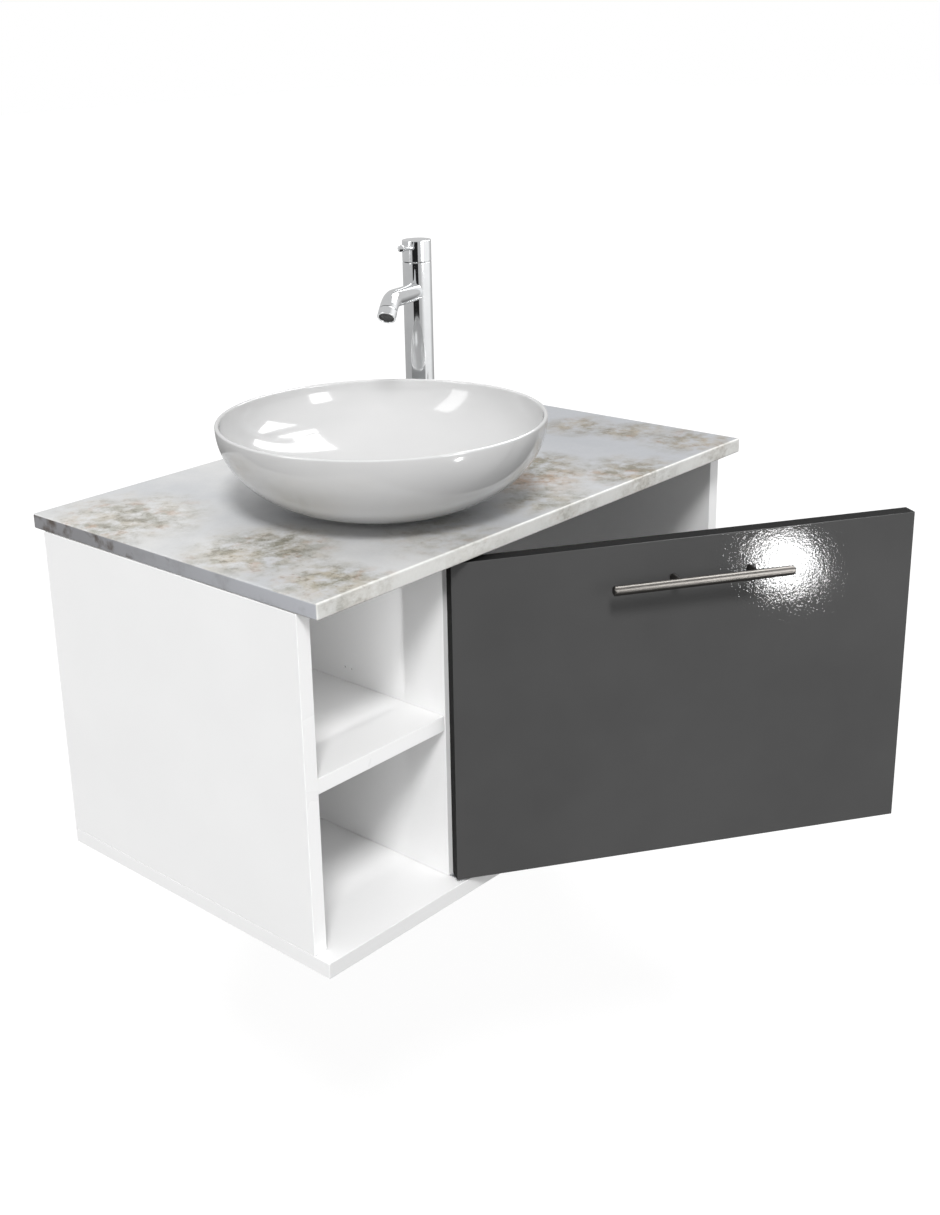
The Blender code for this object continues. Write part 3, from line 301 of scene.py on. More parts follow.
# The left end is an unprinted grey edge: lighter near the front corner.
marble_end, tree, shader = finish(
    "marble_left_end", (0.34, 0.34, 0.36), 0.40, Specular_IOR_Level=0.30
)
where = place_of(tree)
depth = node(tree, "ShaderNodeSeparateXYZ", Vector=where).outputs["Y"]
fade = spread(tree, depth, -0.5, -0.1)
soft = blend_colour(tree, fade, (0.44, 0.45, 0.48), (0.24, 0.24, 0.25))
veins = spread(tree, noise(tree, where, 30.0, 6.0, 0.65), 0.5, 0.7, 0.0, 0.45)
veined = blend_colour(tree, veins, soft, (0.22, 0.22, 0.22))
corner = spread(tree, sums(tree, "ADD", depth, noise(tree, where, 40.0, 4.0)), 0.40, 0.56)
wire(tree, blend_colour(tree, corner, veined, (0.10, 0.085, 0.075)), shader, "Base Color")
bump(tree, shader, noise(tree, where, 500.0, 4.0), 0.00005, 0.4)
print("marble with", len(PATCHES), "patches")

# %% [markdown]
# ## Ceramic, metals, plastic, wood and rubber
# Glaze is a clear wet layer over white clay, so it gets a coat. Chrome is nearly a mirror, with
# faint wipe marks in its roughness. Brushed nickel has fine scratches along the bar, made by
# stretching a noise, and its highlight spreads across them.

# %% Glazed ceramic
glaze, tree, shader = finish(
    "white_glaze", (0.55, 0.55, 0.55), 0.12, Coat_Weight=0.6, Coat_Roughness=0.02
)
where = place_of(tree)
pool = noise(tree, where, 7.0, 2.0)
varied_colour(tree, shader, pool, (0.54, 0.54, 0.54), (0.56, 0.56, 0.56), 0.3, 0.7)
varied_roughness(tree, shader, noise(tree, where, 900.0, 2.0), 0.09, 0.15)
bump(tree, shader, noise(tree, where, 26.0, 1.0), 0.0004, 0.15)


# %% Metals
def metal_finish(name, colour, roughness, smudge, scale=40.0, depth=0.0, **mapping):
    made, tree, shader = finish(name, colour, roughness, 1.0)
    where = place_of(tree, **mapping)
    marks = noise(tree, where, scale, 4.0, 0.6)
    varied_roughness(tree, shader, marks, roughness, roughness + smudge)
    duller = tuple(channel * 0.93 for channel in colour)
    varied_colour(tree, shader, marks, duller, colour, 0.3, 0.7)
    if depth:
        bump(tree, shader, marks, depth, 0.6)
    return made


door_turn = math.radians(-joints["door_hinge"]["range_deg"][0])
chrome = metal_finish("polished_chrome", (0.86, 0.87, 0.88), 0.025, 0.05)
nickel = metal_finish(
    "brushed_nickel",
    (0.150, 0.142, 0.133),
    0.26,
    0.16,
    scale=900.0,
    depth=0.00004,
    stretch=(0.02, 1.0, 1.0),
    turn=(0.0, 0.0, door_turn),
)
zinc = metal_finish("zinc_plate", (0.55, 0.56, 0.58), 0.30, 0.15, scale=220.0, depth=0.00003)
brass = metal_finish("plain_brass", (0.66, 0.50, 0.26), 0.24, 0.14, scale=160.0, depth=0.00002)
mesh_metal = metal_finish("filter_mesh", (0.20, 0.20, 0.20), 0.45, 0.15, scale=400.0)


# %% Plywood, plastic and rubber
def dull_finish(name, colour, darker, roughness, scale, stretch=(1.0, 1.0, 1.0)):
    made, tree, shader = finish(name, colour, roughness)
    grain = noise(tree, place_of(tree, stretch), scale, 6.0, 0.6)
    varied_colour(tree, shader, grain, darker, colour)
    varied_roughness(tree, shader, grain, roughness - 0.07, roughness + 0.07)
    bump(tree, shader, grain, 0.00005, 0.5)
    return made


plywood = dull_finish(
    "plywood", (0.62, 0.46, 0.29), (0.44, 0.30, 0.17), 0.6, 160.0, stretch=(0.05, 1.0, 1.0)
)
acetal = dull_finish("white_acetal", (0.80, 0.80, 0.78), (0.74, 0.74, 0.72), 0.38, 300.0)
black_rubber = dull_finish("black_rubber", (0.03, 0.03, 0.03), (0.02, 0.02, 0.02), 0.75, 600.0)
silicone = dull_finish("silicone", (0.62, 0.63, 0.64), (0.52, 0.53, 0.54), 0.45, 400.0)
FINISH_OF_SLOT = {
    "white_board": white_board,
    "grey_gloss": lacquer,
    "stone": marble,
    "ceramic": glaze,
    "chrome": chrome,
    "nickel": nickel,
    "zinc": zinc,
    "brass": brass,
    "plywood": plywood,
    "white_plastic": acetal,
    "rubber": black_rubber,
    "clear_rubber": silicone,
}
print(len(FINISH_OF_SLOT), "finishes for the model's slots")

# %% [markdown]
# ## Finishes on the engineering parts
# Screws, pins, cleats and rails already have the right shape, so they only get a better finish.

# %% Dress the carried-over parts
slot_of = {row["node"]: row["material_slot"] for row in frame["record"]["subparts"]}
body_parts = frame["record"]["behaviour"]["bodies"]
body_of_node = {part: body for body, parts in body_parts.items() for part in parts}
for name, part in frame["nodes"].items():
    part.data.materials.clear()
    part.data.materials.append(FINISH_OF_SLOT[slot_of[name]])
print(len(frame["nodes"]), "parts dressed")

# %% [markdown]
# ## Modelling helpers
# A piece is a bmesh that is made a mesh, smoothed by angle, tied to a moving body and named after
# the engineering part it stands for, which is hidden.


# %% Make a piece
WELD = 0.000002  # points closer than this, in metres, become one


def weigh_normals(made):
    """Large faces keep their own direction, so a flat panel reflects as a flat mirror."""
    weighted = made.modifiers.new("weighted", "WEIGHTED_NORMAL")
    weighted.keep_sharp = True


def piece(shape, nodes, finishes, smooth=40.0):
    """Ends a bmesh as an object that stands for nodes, with the first one's body."""
    nodes = [nodes] if isinstance(nodes, str) else nodes
    bmesh.ops.remove_doubles(shape, verts=shape.verts, dist=WELD)
    bmesh.ops.recalc_face_normals(shape, faces=shape.faces)
    mesh = bpy.data.meshes.new(nodes[0] + "_finished")
    for face in shape.faces:
        face.smooth = True
    for edge in shape.edges:
        if len(edge.link_faces) == 2 and edge.calc_face_angle(0.0) > math.radians(smooth):
            edge.smooth = False
    shape.to_mesh(mesh)
    shape.free()
    for each in finishes if isinstance(finishes, list) else [finishes]:
        mesh.materials.append(each)
    made = bpy.data.objects.new(mesh.name, mesh)
    bpy.context.scene.collection.objects.link(made)
    weigh_normals(made)
    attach(made, body_of_node[nodes[0]])
    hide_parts(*nodes)
    return made


def slab(low, high, radius, segments=3):
    """A box between two corners with rounded edges."""
    low, high = Vector(low), Vector(high)
    shape = bmesh.new()
    size = Matrix.Diagonal((*(high - low), 1.0))
    bmesh.ops.create_cube(shape, size=1.0, matrix=Matrix.Translation((low + high) / 2) @ size)
    easing = {"offset": radius, "segments": segments, "profile": 0.5}
    bmesh.ops.bevel(shape, geom=shape.edges[:], affect="EDGES", material=-1, **easing)
    return shape


def turned(profile, steps=96, place=Matrix.Identity(4)):
    """A profile of radius and height spun round Z, then moved into place."""
    shape = bmesh.new()
    ring = [shape.verts.new((radius, 0.0, height)) for radius, height in profile]
    edges = [shape.edges.new(pair) for pair in zip(ring, ring[1:])]
    if profile[0][0] > 0.0 and profile[-1][0] > 0.0:
        edges.append(shape.edges.new((ring[-1], ring[0])))
    around_z = {"cent": (0, 0, 0), "axis": (0, 0, 1), "angle": math.tau}
    bmesh.ops.spin(shape, geom=ring + edges, steps=steps, use_merge=True, **around_z)
    bmesh.ops.remove_doubles(shape, verts=shape.verts, dist=WELD)
    bmesh.ops.recalc_face_normals(shape, faces=shape.faces)
    bmesh.ops.transform(shape, matrix=place, verts=shape.verts)
    return shape


def rounded(profile, radius, steps=4):
    """The same profile with each corner cut back and joined by a small arc."""
    made = [profile[0]]
    for before, corner, after in zip(profile, profile[1:], profile[2:]):
        before, corner, after = Vector(before), Vector(corner), Vector(after)
        reach = min(radius, (before - corner).length * 0.45, (after - corner).length * 0.45)
        start = corner + (before - corner).normalized() * reach
        end = corner + (after - corner).normalized() * reach
        for step in range(steps + 1):
            t = step / steps
            made.append(tuple((1 - t) ** 2 * start + 2 * t * (1 - t) * corner + t * t * end))
    return made + [profile[-1]]


def along(axis, start):
    """The placement that takes +Z to an axis and the origin to start."""
    turn = Vector((0, 0, 1)).rotation_difference(Vector(axis))
    return Matrix.Translation(start) @ turn.to_matrix().to_4x4()


def middle_of(name):
    low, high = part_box(name)
    return (low + high) / 2


# %% [markdown]
# ## Boards
# Every board is a box with edges eased by half a millimetre, as a real edge band is. Faces towards
# the room get a lighter white as painted light; the bottom board's front is a darker grey.

# %% Boards
BOARDS = [
    "side_panel_left",
    "side_panel_right",
    "niche_shelf",
    "bottom_panel",
    "top_rail_front",
    "top_rail_back",
    "niche_rail",
]
BOARD_EASE = 0.0006


def name_faces(shape, direction, index):
    """Gives the faces that look one way another of the piece's finishes."""
    for face in shape.faces:
        if face.normal.dot(Vector(direction)) > 0.9:
            face.material_index = index


for name in BOARDS:
    low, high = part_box(name)
    shape = slab(low, high, BOARD_EASE)
    # Faces towards the room get the painted-light white, or the darker grey on the bottom board.
    name_faces(shape, (0, -1, 0), 1)
    piece(shape, name, [white_board, grey_bottom_front if name == "bottom_panel" else painted_light_front])
print(len(BOARDS), "boards")


# %% [markdown]
# ## Drilled boards
# The divider has two small spare holes, the back has a hole for the waste pipe and the worktop two
# for the fittings. A Boolean with a cylinder is the plainest way to drill a rounded slab.


# %% Drill a finished piece
DRILL_LEAD = 0.002  # the cutter starts this far outside the surface


def drill(target, holes):
    """Cuts round holes, each given as a start, an axis, a radius and a depth."""
    target.modifiers.clear()
    for start, axis, radius, depth in holes:
        shape = bmesh.new()
        start = Vector(start) - Vector(axis) * DRILL_LEAD
        length = depth + DRILL_LEAD
        place = along(axis, start) @ Matrix.Translation((0, 0, length / 2))
        size = {"segments": 48, "radius1": radius, "radius2": radius, "depth": length}
        bmesh.ops.create_cone(shape, cap_ends=True, matrix=place, **size)
        mesh = bpy.data.meshes.new("cutter")
        shape.to_mesh(mesh)
        shape.free()
        cutter = bpy.data.objects.new("cutter", mesh)
        bpy.context.scene.collection.objects.link(cutter)
        cut = target.modifiers.new("drill", "BOOLEAN")
        cut.operation = "DIFFERENCE"
        cut.solver = "EXACT"
        cut.object = cutter
        bpy.context.view_layer.update()
        graph = bpy.context.evaluated_depsgraph_get()
        drilled = bpy.data.meshes.new_from_object(target.evaluated_get(graph))
        target.modifiers.clear()
        target.data = drilled
        bpy.data.objects.remove(cutter)
    weigh_normals(target)


low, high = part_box("divider_panel")
shape = slab(low, high, BOARD_EASE)
name_faces(shape, (0, -1, 0), 1)
divider = piece(shape, "divider_panel", [white_board, painted_light_front])
SPARE_HOLE_RADIUS, SPARE_HOLE_DEPTH, SPARE_HOLE_STEP = 0.0013, 0.008, 0.011
spare_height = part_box("niche_shelf")[1].z + 0.0185
spare_front = low.y + 0.152
spare_holes = [
    ((low.x, spare_front + step, spare_height), (1, 0, 0), SPARE_HOLE_RADIUS, SPARE_HOLE_DEPTH)
    for step in (0.0, SPARE_HOLE_STEP)
]
drill(divider, spare_holes)
low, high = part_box("back_panel")
pipe_place = middle_of("waste_pipe")
PIPE_HOLE_RADIUS, BACK_DRILL = 0.040, 0.012
back = piece(slab(low, high, 0.0004, 1), "back_panel", white_board)
pipe_hole = (pipe_place.x, low.y, pipe_place.z)
drill(back, [(pipe_hole, (0, 1, 0), PIPE_HOLE_RADIUS, BACK_DRILL)])
print("divider and back drilled")

# %% Worktop
low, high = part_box("countertop")
shape = slab(low, high, 0.0022, 4)
name_faces(shape, (-1, 0, 0), 1)
worktop = piece(shape, "countertop", [marble, marble_end])
basin_place = middle_of("basin")
tap_place = middle_of("tap_body")
DRAIN_HOLE, TAP_HOLE, WORKTOP_DRILL = 0.0235, 0.0175, 0.023
drain_start = (basin_place.x, basin_place.y, high.z)
tap_start = (tap_place.x, tap_place.y, high.z)
DOWN = (0, 0, -1)
worktop_holes = [(drain_start, DOWN, DRAIN_HOLE, WORKTOP_DRILL)]
worktop_holes += [(tap_start, DOWN, TAP_HOLE, WORKTOP_DRILL)]
drill(worktop, worktop_holes)
print("worktop", [round(side, 3) for side in high - low])

# %% [markdown]
# ## Door
# The door is drawn shut and flat, then swung about its pivot to the angle it rests at. Its two big
# faces are gloss lacquer and its thin edges the duller finish.

# %% Door panel
DOOR_WIDTH = 0.572
DOOR_THICKNESS = 0.020
PIVOT_INSET = 0.007
pivot = joints["door_hinge"]["pos_m"]
door_place = Matrix.Translation((pivot[0], pivot[1], 0.0)) @ Matrix.Rotation(-door_turn, 4, "Z")
low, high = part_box("door_panel")
near_corner = (-PIVOT_INSET, -DOOR_THICKNESS / 2, low.z)
far_corner = (DOOR_WIDTH - PIVOT_INSET, DOOR_THICKNESS / 2, high.z)
shape = slab(near_corner, far_corner, 0.0008)
for face in shape.faces:
    if abs(face.normal.y) < 0.3:
        face.material_index = 1
bmesh.ops.transform(shape, matrix=door_place, verts=shape.verts)
door = piece(shape, "door_panel", [lacquer, lacquer_edge])
BUSH_RADIUS, BUSH_DEPTH = 0.0044, 0.0123
bush_low = ((pivot[0], pivot[1], low.z), (0, 0, 1), BUSH_RADIUS, BUSH_DEPTH)
bush_high = ((pivot[0], pivot[1], high.z), DOWN, BUSH_RADIUS, BUSH_DEPTH)
drill(door, [bush_low, bush_high])
print("door stands open by", round(math.degrees(door_turn), 1), "degrees")

# %% [markdown]
# ## Handle
# A plain round bar with small chamfered ends, turned like a real one on a lathe and laid on its
# side. Its two posts are turned too, a little wider where each meets the door. The lacquer's mirror
# image leaves them out, because a sharp second bar in the door would draw the eye.

# %% Handle bar and posts
BAR_RADIUS = 0.0058
BAR_LENGTH = 0.222
BAR_CENTRE = 0.288
BAR_CHAMFER = 0.0010
STANDOFF = 0.024
bar_height = middle_of("handle_bar").z
bar_profile = [
    (0.0, 0.0),
    (BAR_RADIUS - BAR_CHAMFER, 0.0),
    (BAR_RADIUS, BAR_CHAMFER),
    (BAR_RADIUS, BAR_LENGTH - BAR_CHAMFER),
    (BAR_RADIUS - BAR_CHAMFER, BAR_LENGTH),
    (0.0, BAR_LENGTH),
]
bar_y = -DOOR_THICKNESS / 2 - STANDOFF
bar_start = door_place @ along((1, 0, 0), (BAR_CENTRE - BAR_LENGTH / 2, bar_y, bar_height))
bar = piece(turned(rounded(bar_profile, 0.0004, 3), 64, bar_start), "handle_bar", nickel)
bar.visible_glossy = False
POST_RADIUS, POST_LENGTH = 0.0040, 0.0208
post = [(0.0, 0.0), (0.0042, 0.0), (POST_RADIUS, 0.0008)]
post += [(POST_RADIUS, POST_LENGTH), (0.0, POST_LENGTH)]
for label, x in (("left", 0.259), ("right", 0.355)):
    start = door_place @ along((0, -1, 0), (x, -DOOR_THICKNESS / 2 - 0.0003, bar_height))
    made = piece(turned(rounded(post, 0.0003, 2), 40, start), f"handle_post_{label}", nickel)
    made.visible_glossy = False
print("handle bar", BAR_LENGTH, "m long")

# %% [markdown]
# ## Basin
# The bowl is one turned shape. Outside and inside are quarter ellipses, so the wall comes down
# steeply under the rim and flattens towards the foot, and a half circle closes the thin rim.

# %% Basin
BASIN_RADIUS = 0.198
BASIN_HEIGHT = 0.110
RIM = 0.005
FOOT = 0.050
FLOOR_RADIUS = 0.038
FLOOR_HEIGHT = 0.014
rim_height = BASIN_HEIGHT - RIM / 2


def quarter(inner, outer, low, high, steps=40):
    """Points of a quarter ellipse from the rim down to a flat floor."""
    points = []
    for step in range(steps + 1):
        angle = math.radians(90) * step / steps
        radius = inner + (outer - inner) * math.cos(angle)
        points.append((radius, high - (high - low) * math.sin(angle)))
    return points


outside = quarter(FOOT, BASIN_RADIUS, 0.0, rim_height)
inside = quarter(FLOOR_RADIUS, BASIN_RADIUS - RIM, FLOOR_HEIGHT, rim_height)
rim_middle = BASIN_RADIUS - RIM / 2
lip = []
for step in range(1, 8):
    angle = math.pi * step / 8
    lip.append((rim_middle - RIM / 2 * math.cos(angle), rim_height + RIM / 2 * math.sin(angle)))
FOOT_RECESS = 0.004
foot = [(FOOT - 0.010, 0.0), (FOOT - 0.012, FOOT_RECESS), (DRAIN_HOLE, FOOT_RECESS)]
foot += [(DRAIN_HOLE, FLOOR_HEIGHT - 0.001)]
basin_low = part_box("basin")[0].z
basin_base = Matrix.Translation((basin_place.x, basin_place.y, basin_low))
profile = outside + foot + [(DRAIN_HOLE + 0.001, FLOOR_HEIGHT)] + inside[::-1] + lip
basin = piece(turned(profile, 160, basin_base), "basin", glaze, smooth=50.0)
print("basin", len(basin.data.polygons), "faces")

# %% [markdown]
# ## Waste and plug
# The waste's flange shows as a thin chrome ring in the bowl, and the plug is a shallow dome that
# sits on it. Under the worktop the tube, nuts and bottle trap are turned in the same way, each with
# the small rounded corners that make chrome catch the light.

# %% Waste, plug and trap
drain_top = basin_low + FLOOR_HEIGHT + 0.0003
drain = Matrix.Translation((basin_place.x, basin_place.y, 0.0))
drain_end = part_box("drain_body")[0].z
flange = [
    (0.0200, drain_top + 0.0024),
    (0.0320, drain_top + 0.0025),
    (0.0330, drain_top + 0.0012),
    (0.0330, drain_top),
    (0.0225, drain_top),
    (0.0225, drain_end),
    (0.0190, drain_end),
    (0.0190, drain_top + 0.0014),
]
piece(turned(rounded(flange, 0.0005, 3), 96, drain), "drain_body", chrome)
plug_low = drain_top + 0.0028
plug = [
    (0.0, plug_low + 0.0035),
    (0.0155, plug_low + 0.0032),
    (0.0272, plug_low + 0.0023),
    (0.0310, plug_low + 0.0012),
    (0.0310, plug_low),
    (0.0035, plug_low),
    (0.0035, plug_low - 0.040),
    (0.0, plug_low - 0.040),
]
piece(turned(rounded(plug, 0.0012, 4), 96, drain), "drain_plug", chrome)


def pipe_shape(name, outline, corner, place=None, steps=72):
    """A turned chrome fitting in place of a part."""
    return piece(turned(rounded(outline, corner, 3), steps, place or drain), name, chrome)


low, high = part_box("trap_inlet_nut")
nut_floor = high.z - 0.012
nut = [(0.0163, low.z), (0.0280, low.z), (0.0280, high.z), (0.0228, high.z)]
nut += [(0.0228, nut_floor), (0.0163, nut_floor)]
pipe_shape("trap_inlet_nut", nut, 0.0012)
low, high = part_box("trap_cup")
cup = [(0.0, low.z), (0.0240, low.z), (0.0320, low.z + 0.012), (0.0320, high.z), (0.0293, high.z)]
cup += [(0.0293, low.z + 0.013), (0.0213, low.z + 0.003), (0.0, low.z + 0.003)]
pipe_shape("trap_cup", cup, 0.0020)
low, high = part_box("trap_body")
trap_top = low.z + 0.070
shell = [(0.0160, high.z), (0.0160, trap_top + 0.006), (0.0230, trap_top)]
shell += [(0.0290, trap_top - 0.006), (0.0290, low.z)]
shell += [(0.0265, low.z), (0.0265, trap_top - 0.008), (0.0140, trap_top - 0.002), (0.0140, high.z)]
trap = turned(rounded(shell, 0.0015, 3), 72, drain)
stub_place = Vector((basin_place.x, basin_place.y, pipe_place.z))
stub = [(0.0200, 0.0270), (0.0200, 0.0590), (0.0163, 0.0590), (0.0163, 0.0270)]
stub_mesh = bpy.data.meshes.new("stub")
stub_shape = turned(stub, 64, along((0, 1, 0), stub_place))
stub_shape.to_mesh(stub_mesh)
stub_shape.free()
trap.from_mesh(stub_mesh)
bpy.data.meshes.remove(stub_mesh)
piece(trap, "trap_body", chrome)
low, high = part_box("waste_pipe")
pipe = [(0.0160, 0.0), (0.0160, high.y - low.y), (0.0140, high.y - low.y), (0.0140, 0.0)]
pipe_shape("waste_pipe", pipe, 0.0004, along((0, 1, 0), (pipe_place.x, low.y, pipe_place.z)))
low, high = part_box("trap_outlet_nut")
collar = [(0.0243, 0.0), (0.0255, 0.0), (0.0255, 0.020), (0.0163, 0.020)]
collar += [(0.0163, 0.014), (0.0203, 0.014), (0.0203, 0.0)]
pipe_shape("trap_outlet_nut", collar, 0.0010, along((0, 1, 0), (pipe_place.x, low.y, pipe_place.z)))
low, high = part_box("wall_rosette")
plate = [(0.0163, 0.0), (0.0340, 0.0), (0.0325, 0.0022), (0.0200, 0.0080), (0.0163, 0.0080)]
pipe_shape("wall_rosette", plate, 0.0020, along((0, -1, 0), (pipe_place.x, high.y, pipe_place.z)))
print("waste, plug and trap")

# %% [markdown]
# ## Tap
# The column, cap and lever are turned. The spout is a row of circles along a curved centre line,
# bridged into a tube, which keeps its bend perfectly round. Its outlet looks down at 45 degrees and
# holds a filter mesh of crossed wires.

# %% Tap column, cap and lever
tap_low, tap_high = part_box("tap_body")
tilt = joints["handle_tilt"]["axis"]
reach_way = Vector((-tilt[1], tilt[0], 0.0))
TAP_RADIUS = 0.019
tap_base = Matrix.Translation((tap_place.x, tap_place.y, tap_low.z))


def tap_point(reach, height):
    """A point in the tap's upright plane, over its base."""
    return Vector((tap_place.x, tap_place.y, tap_low.z + height)) + reach_way * reach


height = tap_high.z - tap_low.z
column = [
    (0.0, 0.0),
    (0.0245, 0.0),
    (0.0245, 0.0042),
    (0.0235, 0.0050),
    (TAP_RADIUS, 0.0050),
    (TAP_RADIUS, height),
    (TAP_RADIUS - 0.0035, height),
    (TAP_RADIUS - 0.0035, height - 0.003),
    (0.0, height - 0.003),
]
piece(turned(rounded(column, 0.0006, 3), 128, tap_base), "tap_body", chrome)
cap_low, cap_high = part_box("tap_cap")
cap_base = Matrix.Translation((tap_place.x, tap_place.y, cap_low.z))
cap_height = cap_high.z - cap_low.z
cap = [
    (0.0, 0.0145),
    (TAP_RADIUS - 0.0035, 0.0145),
    (TAP_RADIUS - 0.0035, 0.0),
    (TAP_RADIUS, 0.0),
    (TAP_RADIUS, cap_height),
    (0.0, cap_height),
]
piece(turned(rounded(cap, 0.0009, 4), 128, cap_base), "tap_cap", chrome)
LEVER_HEIGHT = 0.2713
LEVER_RISE = math.radians(7.4)
lever_way = tap_point(math.cos(LEVER_RISE), math.sin(LEVER_RISE)) - tap_point(0.0, 0.0)
pin_start, pin_end = 0.0122, 0.067 / math.cos(LEVER_RISE)
lever = [
    (0.0, pin_start),
    (0.0030, pin_start),
    (0.0030, pin_end - 0.008),
    (0.0045, pin_end - 0.0072),
    (0.0045, pin_end),
    (0.0, pin_end),
]
lever_base = along(lever_way, tap_point(0.0, LEVER_HEIGHT))
piece(turned(rounded(lever, 0.0007, 3), 48, lever_base), "lever_pin", chrome)
print("tap column", round(height, 3), "m high")

# %% Spout
SPOUT_RADIUS = 0.0115
SPOUT_HEIGHT, SPOUT_RISE = 0.2165, 0.006
BEND_START, SPOUT_REACH = 0.098, 0.123
SPOUT_TILT = math.radians(45.0)
slope = math.atan(SPOUT_RISE / (BEND_START - TAP_RADIUS))
bend_radius = (SPOUT_REACH - BEND_START) / (math.sin(SPOUT_TILT) + math.sin(slope))
root = TAP_RADIUS - 0.0045
line = []
for step in range(12):
    reach = root + (BEND_START - root) * step / 12
    rise = math.tan(slope) * (reach - TAP_RADIUS)
    line.append((tap_point(reach, SPOUT_HEIGHT + rise), slope))
bend_centre = (
    BEND_START + bend_radius * math.sin(slope),
    SPOUT_HEIGHT + SPOUT_RISE - bend_radius * math.cos(slope),
)
for step in range(25):
    angle = slope - (slope + SPOUT_TILT) * step / 24
    reach = bend_centre[0] - bend_radius * math.sin(angle)
    line.append((tap_point(reach, bend_centre[1] + bend_radius * math.cos(angle)), angle))
outlet_way = tap_point(math.cos(SPOUT_TILT), -math.sin(SPOUT_TILT)) - tap_point(0.0, 0.0)
line.append((line[-1][0] + outlet_way * 0.002, -SPOUT_TILT))
shape = bmesh.new()
rings = []
for centre, angle in line:
    way = tap_point(math.cos(angle), math.sin(angle)) - tap_point(0.0, 0.0)
    side = Vector((0, 0, 1)).cross(reach_way).normalized()
    turn = Matrix((side, way.cross(side), way)).transposed().to_4x4()
    ring_place = Matrix.Translation(centre) @ turn
    made = bmesh.ops.create_circle(
        shape, cap_ends=False, segments=64, radius=SPOUT_RADIUS, matrix=ring_place
    )
    rings.append({edge for vert in made["verts"] for edge in vert.link_edges})
for near, far in zip(rings, rings[1:]):
    bmesh.ops.bridge_loops(shape, edges=list(near | far))
for ends in (rings[0], rings[-1]):
    bmesh.ops.contextual_create(shape, geom=list(ends))
piece(shape, "tap_spout", chrome)
spout_end = line[-1][0]
print("spout of", len(rings), "rings")

# %% Outlet with its filter mesh
OUTLET_RADIUS, OUTLET_LENGTH, FILTER_RADIUS = 0.0118, 0.011, 0.0096
outlet = [
    (0.0, 0.0),
    (OUTLET_RADIUS - 0.0006, 0.0),
    (OUTLET_RADIUS, 0.0008),
    (OUTLET_RADIUS, OUTLET_LENGTH),
    (FILTER_RADIUS, OUTLET_LENGTH),
    (FILTER_RADIUS, OUTLET_LENGTH - 0.0030),
    (0.0, OUTLET_LENGTH - 0.0030),
]
outlet_place = along(outlet_way, spout_end + outlet_way * 0.0003)
shape = turned(rounded(outlet, 0.0006, 3), 96, outlet_place)
for face in shape.faces:
    depth = (outlet_place.inverted() @ face.calc_center_median()).z
    radius = (outlet_place.inverted() @ face.calc_center_median()).xy.length
    if radius < FILTER_RADIUS and depth > OUTLET_LENGTH - 0.0032:
        face.material_index = 1
WIRES = 11
wire_size = {"segments": 6, "radius1": 0.00022, "radius2": 0.00022}
for turn in (0.0, math.radians(90)):
    for step in range(WIRES):
        offset = (step - (WIRES - 1) / 2) * 2 * FILTER_RADIUS / (WIRES + 1)
        length = 2 * math.sqrt(FILTER_RADIUS**2 - offset**2)
        shift = Matrix.Translation((0, offset, OUTLET_LENGTH - 0.0016))
        lie = Matrix.Rotation(turn, 4, "Z") @ shift @ Matrix.Rotation(math.radians(90), 4, "Y")
        made = bmesh.ops.create_cone(
            shape, cap_ends=True, depth=length, matrix=outlet_place @ lie, **wire_size
        )
        for face in {face for vert in made["verts"] for face in vert.link_faces}:
            face.material_index = 1
piece(shape, "aerator", [chrome, mesh_metal])
print("filter of", 2 * WIRES, "wires")

# %% [markdown]
# ## Studio
# Soft white light comes from everywhere, as in a light tent. One key sun from the front left draws
# the shadows, and three wide ones from above, the side and the front keep them open. Chrome and
# glaze show only what surrounds them, so a dark card and three bright ones stand where they can be
# mirrored, out of every other ray's sight. A small bright disc makes the round glint in the
# lacquer, and two weak lamps light the niche as the room would.

# %% World, floor and lights
scene = bpy.context.scene
scene.view_settings.view_transform = "Standard"
world = bpy.data.worlds.new("tent")
world.use_nodes = True
sky = world.node_tree
background = sky.nodes["Background"]
background.inputs["Color"].default_value = (1.0, 1.0, 1.0, 1.0)
rays = node(sky, "ShaderNodeLightPath")
way = node(sky, "ShaderNodeTexCoord").outputs["Generated"]
climb = node(sky, "ShaderNodeSeparateXYZ", Vector=way).outputs["Z"]
sideways = vectors(sky, "DOT_PRODUCT", "Value", i0=way, i1=(0.50, -0.87, 0.0))
DIFFUSE_LEVEL = 0.42
low_to_high = spread(sky, climb, -0.40, -0.10, 0.12, 0.62)
right_glow = spread(sky, sideways, 0.60, 0.88, 0.0, 0.50)
mirrored = sums(sky, "ADD", low_to_high, right_glow)


def choose(ray, otherwise, then):
    """One level for a kind of ray and another for the rest."""
    options = {"data_type": "FLOAT"}
    made = node(sky, "ShaderNodeMix", options, i0=rays.outputs[ray], i2=otherwise, i3=then)
    return made.outputs[0]


unseen = choose("Is Glossy Ray", DIFFUSE_LEVEL, mirrored)
sky.links.new(choose("Is Camera Ray", unseen, 1.0), background.inputs["Strength"])
scene.world = world

FLOOR_LEVEL = -0.75
shape = bmesh.new()
floor_place = Matrix.Translation((0, 0, FLOOR_LEVEL))
bmesh.ops.create_grid(shape, x_segments=1, y_segments=1, size=30.0, matrix=floor_place)
floor_mesh = bpy.data.meshes.new("floor")
shape.to_mesh(floor_mesh)
shape.free()
floor_finish, tree, shader = finish("pale_floor", (0.22, 0.22, 0.22), 0.9, Specular_IOR_Level=0.0)
shader.inputs["Emission Color"].default_value = (1.0, 1.0, 1.0, 1.0)
shader.inputs["Emission Strength"].default_value = 0.80
floor_mesh.materials.append(floor_finish)
floor = bpy.data.objects.new("floor", floor_mesh)
scene.collection.objects.link(floor)
floor.visible_glossy = False
floor.visible_diffuse = False


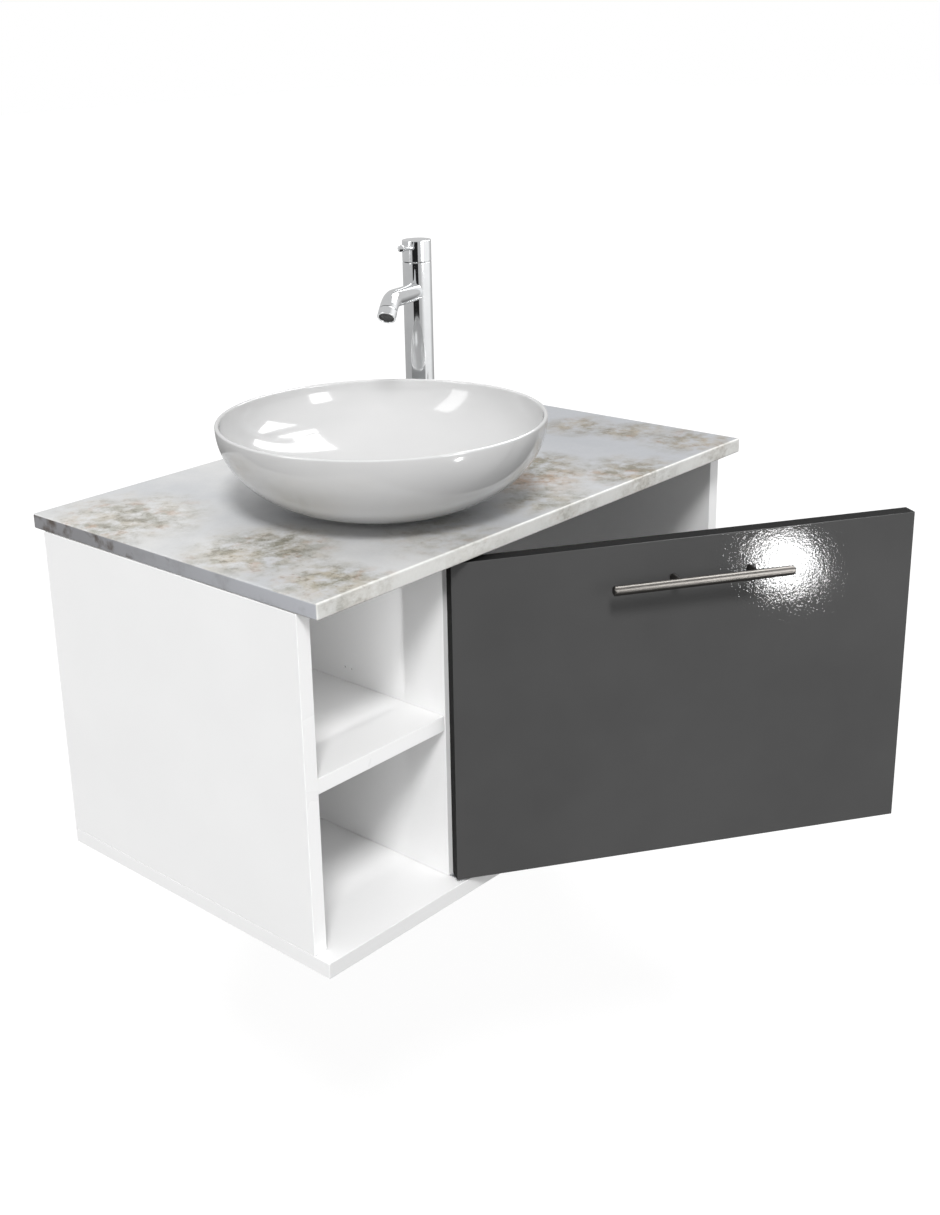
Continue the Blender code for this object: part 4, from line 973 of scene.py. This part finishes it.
def lamp(name, kind, place, aim, energy, **settings):
    data = bpy.data.lights.new(name, kind)
    data.energy = energy
    for key, value in settings.items():
        setattr(data, key, value)
    made = bpy.data.objects.new(name, data)
    made.matrix_world = along(Vector(place) - Vector(aim), place)
    scene.collection.objects.link(made)
    return made


SUNS = [  # name, where it comes from, strength, apparent size in degrees
    ("key", (-0.46, -0.45, 0.766), 2.4, 14),
    ("overhead", (0.15, 0.25, 0.95), 1.0, 50),
    ("side_fill", (-0.9, -0.2, 0.2), 0.74, 40),
    ("front_fill", (-0.1, -1.0, 0.1), 0.64, 40),
]
for name, way, strength, size in SUNS:
    sun = lamp(name, "SUN", way, (0, 0, 0), strength, angle=math.radians(size))
    sun.visible_glossy = False
glint_spot = door_place @ Vector((0.404, -DOOR_THICKNESS / 2, 0.378))
GLINT_WAY = Vector((-0.0814, -0.9405, -0.329))  # where the camera's sight goes after the lacquer
glint_place = glint_spot + GLINT_WAY * 1.5
glint = lamp("glint", "AREA", glint_place, glint_spot, 2.8, shape="DISK", size=0.105)
glint.visible_camera = False
glint.visible_diffuse = False
niche_low, niche_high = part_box("niche_shelf")
BOTTOM_TOP = 0.019
NICHES = [  # name, lower and upper height, strength
    ("upper", niche_high.z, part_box("niche_rail")[0].z, 0.07),
    ("lower", BOTTOM_TOP, niche_low.z, 0.015),
]
for label, low_z, high_z, energy in NICHES:
    niche_x = (niche_low.x + niche_high.x) / 2
    middle = Vector((niche_x, niche_low.y + 0.060, (low_z + high_z) / 2))
    size = {"size": niche_high.x - niche_low.x - 0.01, "size_y": high_z - low_z - 0.02}
    ahead = middle + Vector((0, 1, 0))
    fill = lamp(f"niche_{label}_fill", "AREA", middle, ahead, energy, shape="RECTANGLE", **size)
    fill.visible_camera = False
    fill.visible_glossy = False


def card(name, place, aim, width, height, tone, glow=0.0):
    """A card that only reflections can see, dark or glowing."""
    shape = bmesh.new()
    size = Matrix.Diagonal((width, height, 1, 1))
    bmesh.ops.create_grid(shape, x_segments=1, y_segments=1, size=0.5, matrix=size)
    way = (Vector(aim) - Vector(place)).normalized()
    side = way.cross(Vector((0, 0, 1))).normalized()
    turn = Matrix((side, side.cross(way), -way)).transposed().to_4x4()
    bmesh.ops.transform(shape, matrix=Matrix.Translation(place) @ turn, verts=shape.verts)
    mesh = bpy.data.meshes.new(name)
    shape.to_mesh(mesh)
    shape.free()
    look, tree, shader = finish(name + "_look", (tone, tone, tone), 1.0, Specular_IOR_Level=0.0)
    shader.inputs["Emission Color"].default_value = (1.0, 1.0, 1.0, 1.0)
    shader.inputs["Emission Strength"].default_value = glow
    mesh.materials.append(look)
    made = bpy.data.objects.new(name, mesh)
    scene.collection.objects.link(made)
    for sight in ("camera", "diffuse", "transmission", "volume_scatter", "shadow"):
        setattr(made, "visible_" + sight, False)
    return made


def around(start, azimuth, climb, distance):
    """A point at an azimuth and an elevation from start, in degrees."""
    azimuth, climb = math.radians(azimuth), math.radians(climb)
    flat = math.cos(climb)
    way = Vector((flat * math.cos(azimuth), flat * math.sin(azimuth), math.sin(climb)))
    return Vector(start) + way * distance


column_middle = tap_point(0.0, 0.16)
bowl_middle = Vector((basin_place.x, basin_place.y, basin_low + 0.06))
card("dark_card", around(column_middle, -152, -11, 1.8), column_middle, 1.5, 1.3, 0.03)
card("front_softbox", around(bowl_middle, -88, 12, 2.0), bowl_middle, 0.55, 1.1, 0.8, 8.0)
card("right_softbox", around(bowl_middle, -12, 46, 2.0), bowl_middle, 1.3, 1.3, 0.8, 8.0)
card("left_softbox", around(bowl_middle, 160, 24, 2.0), bowl_middle, 0.5, 2.0, 0.8, 4.0)
print("studio ready")
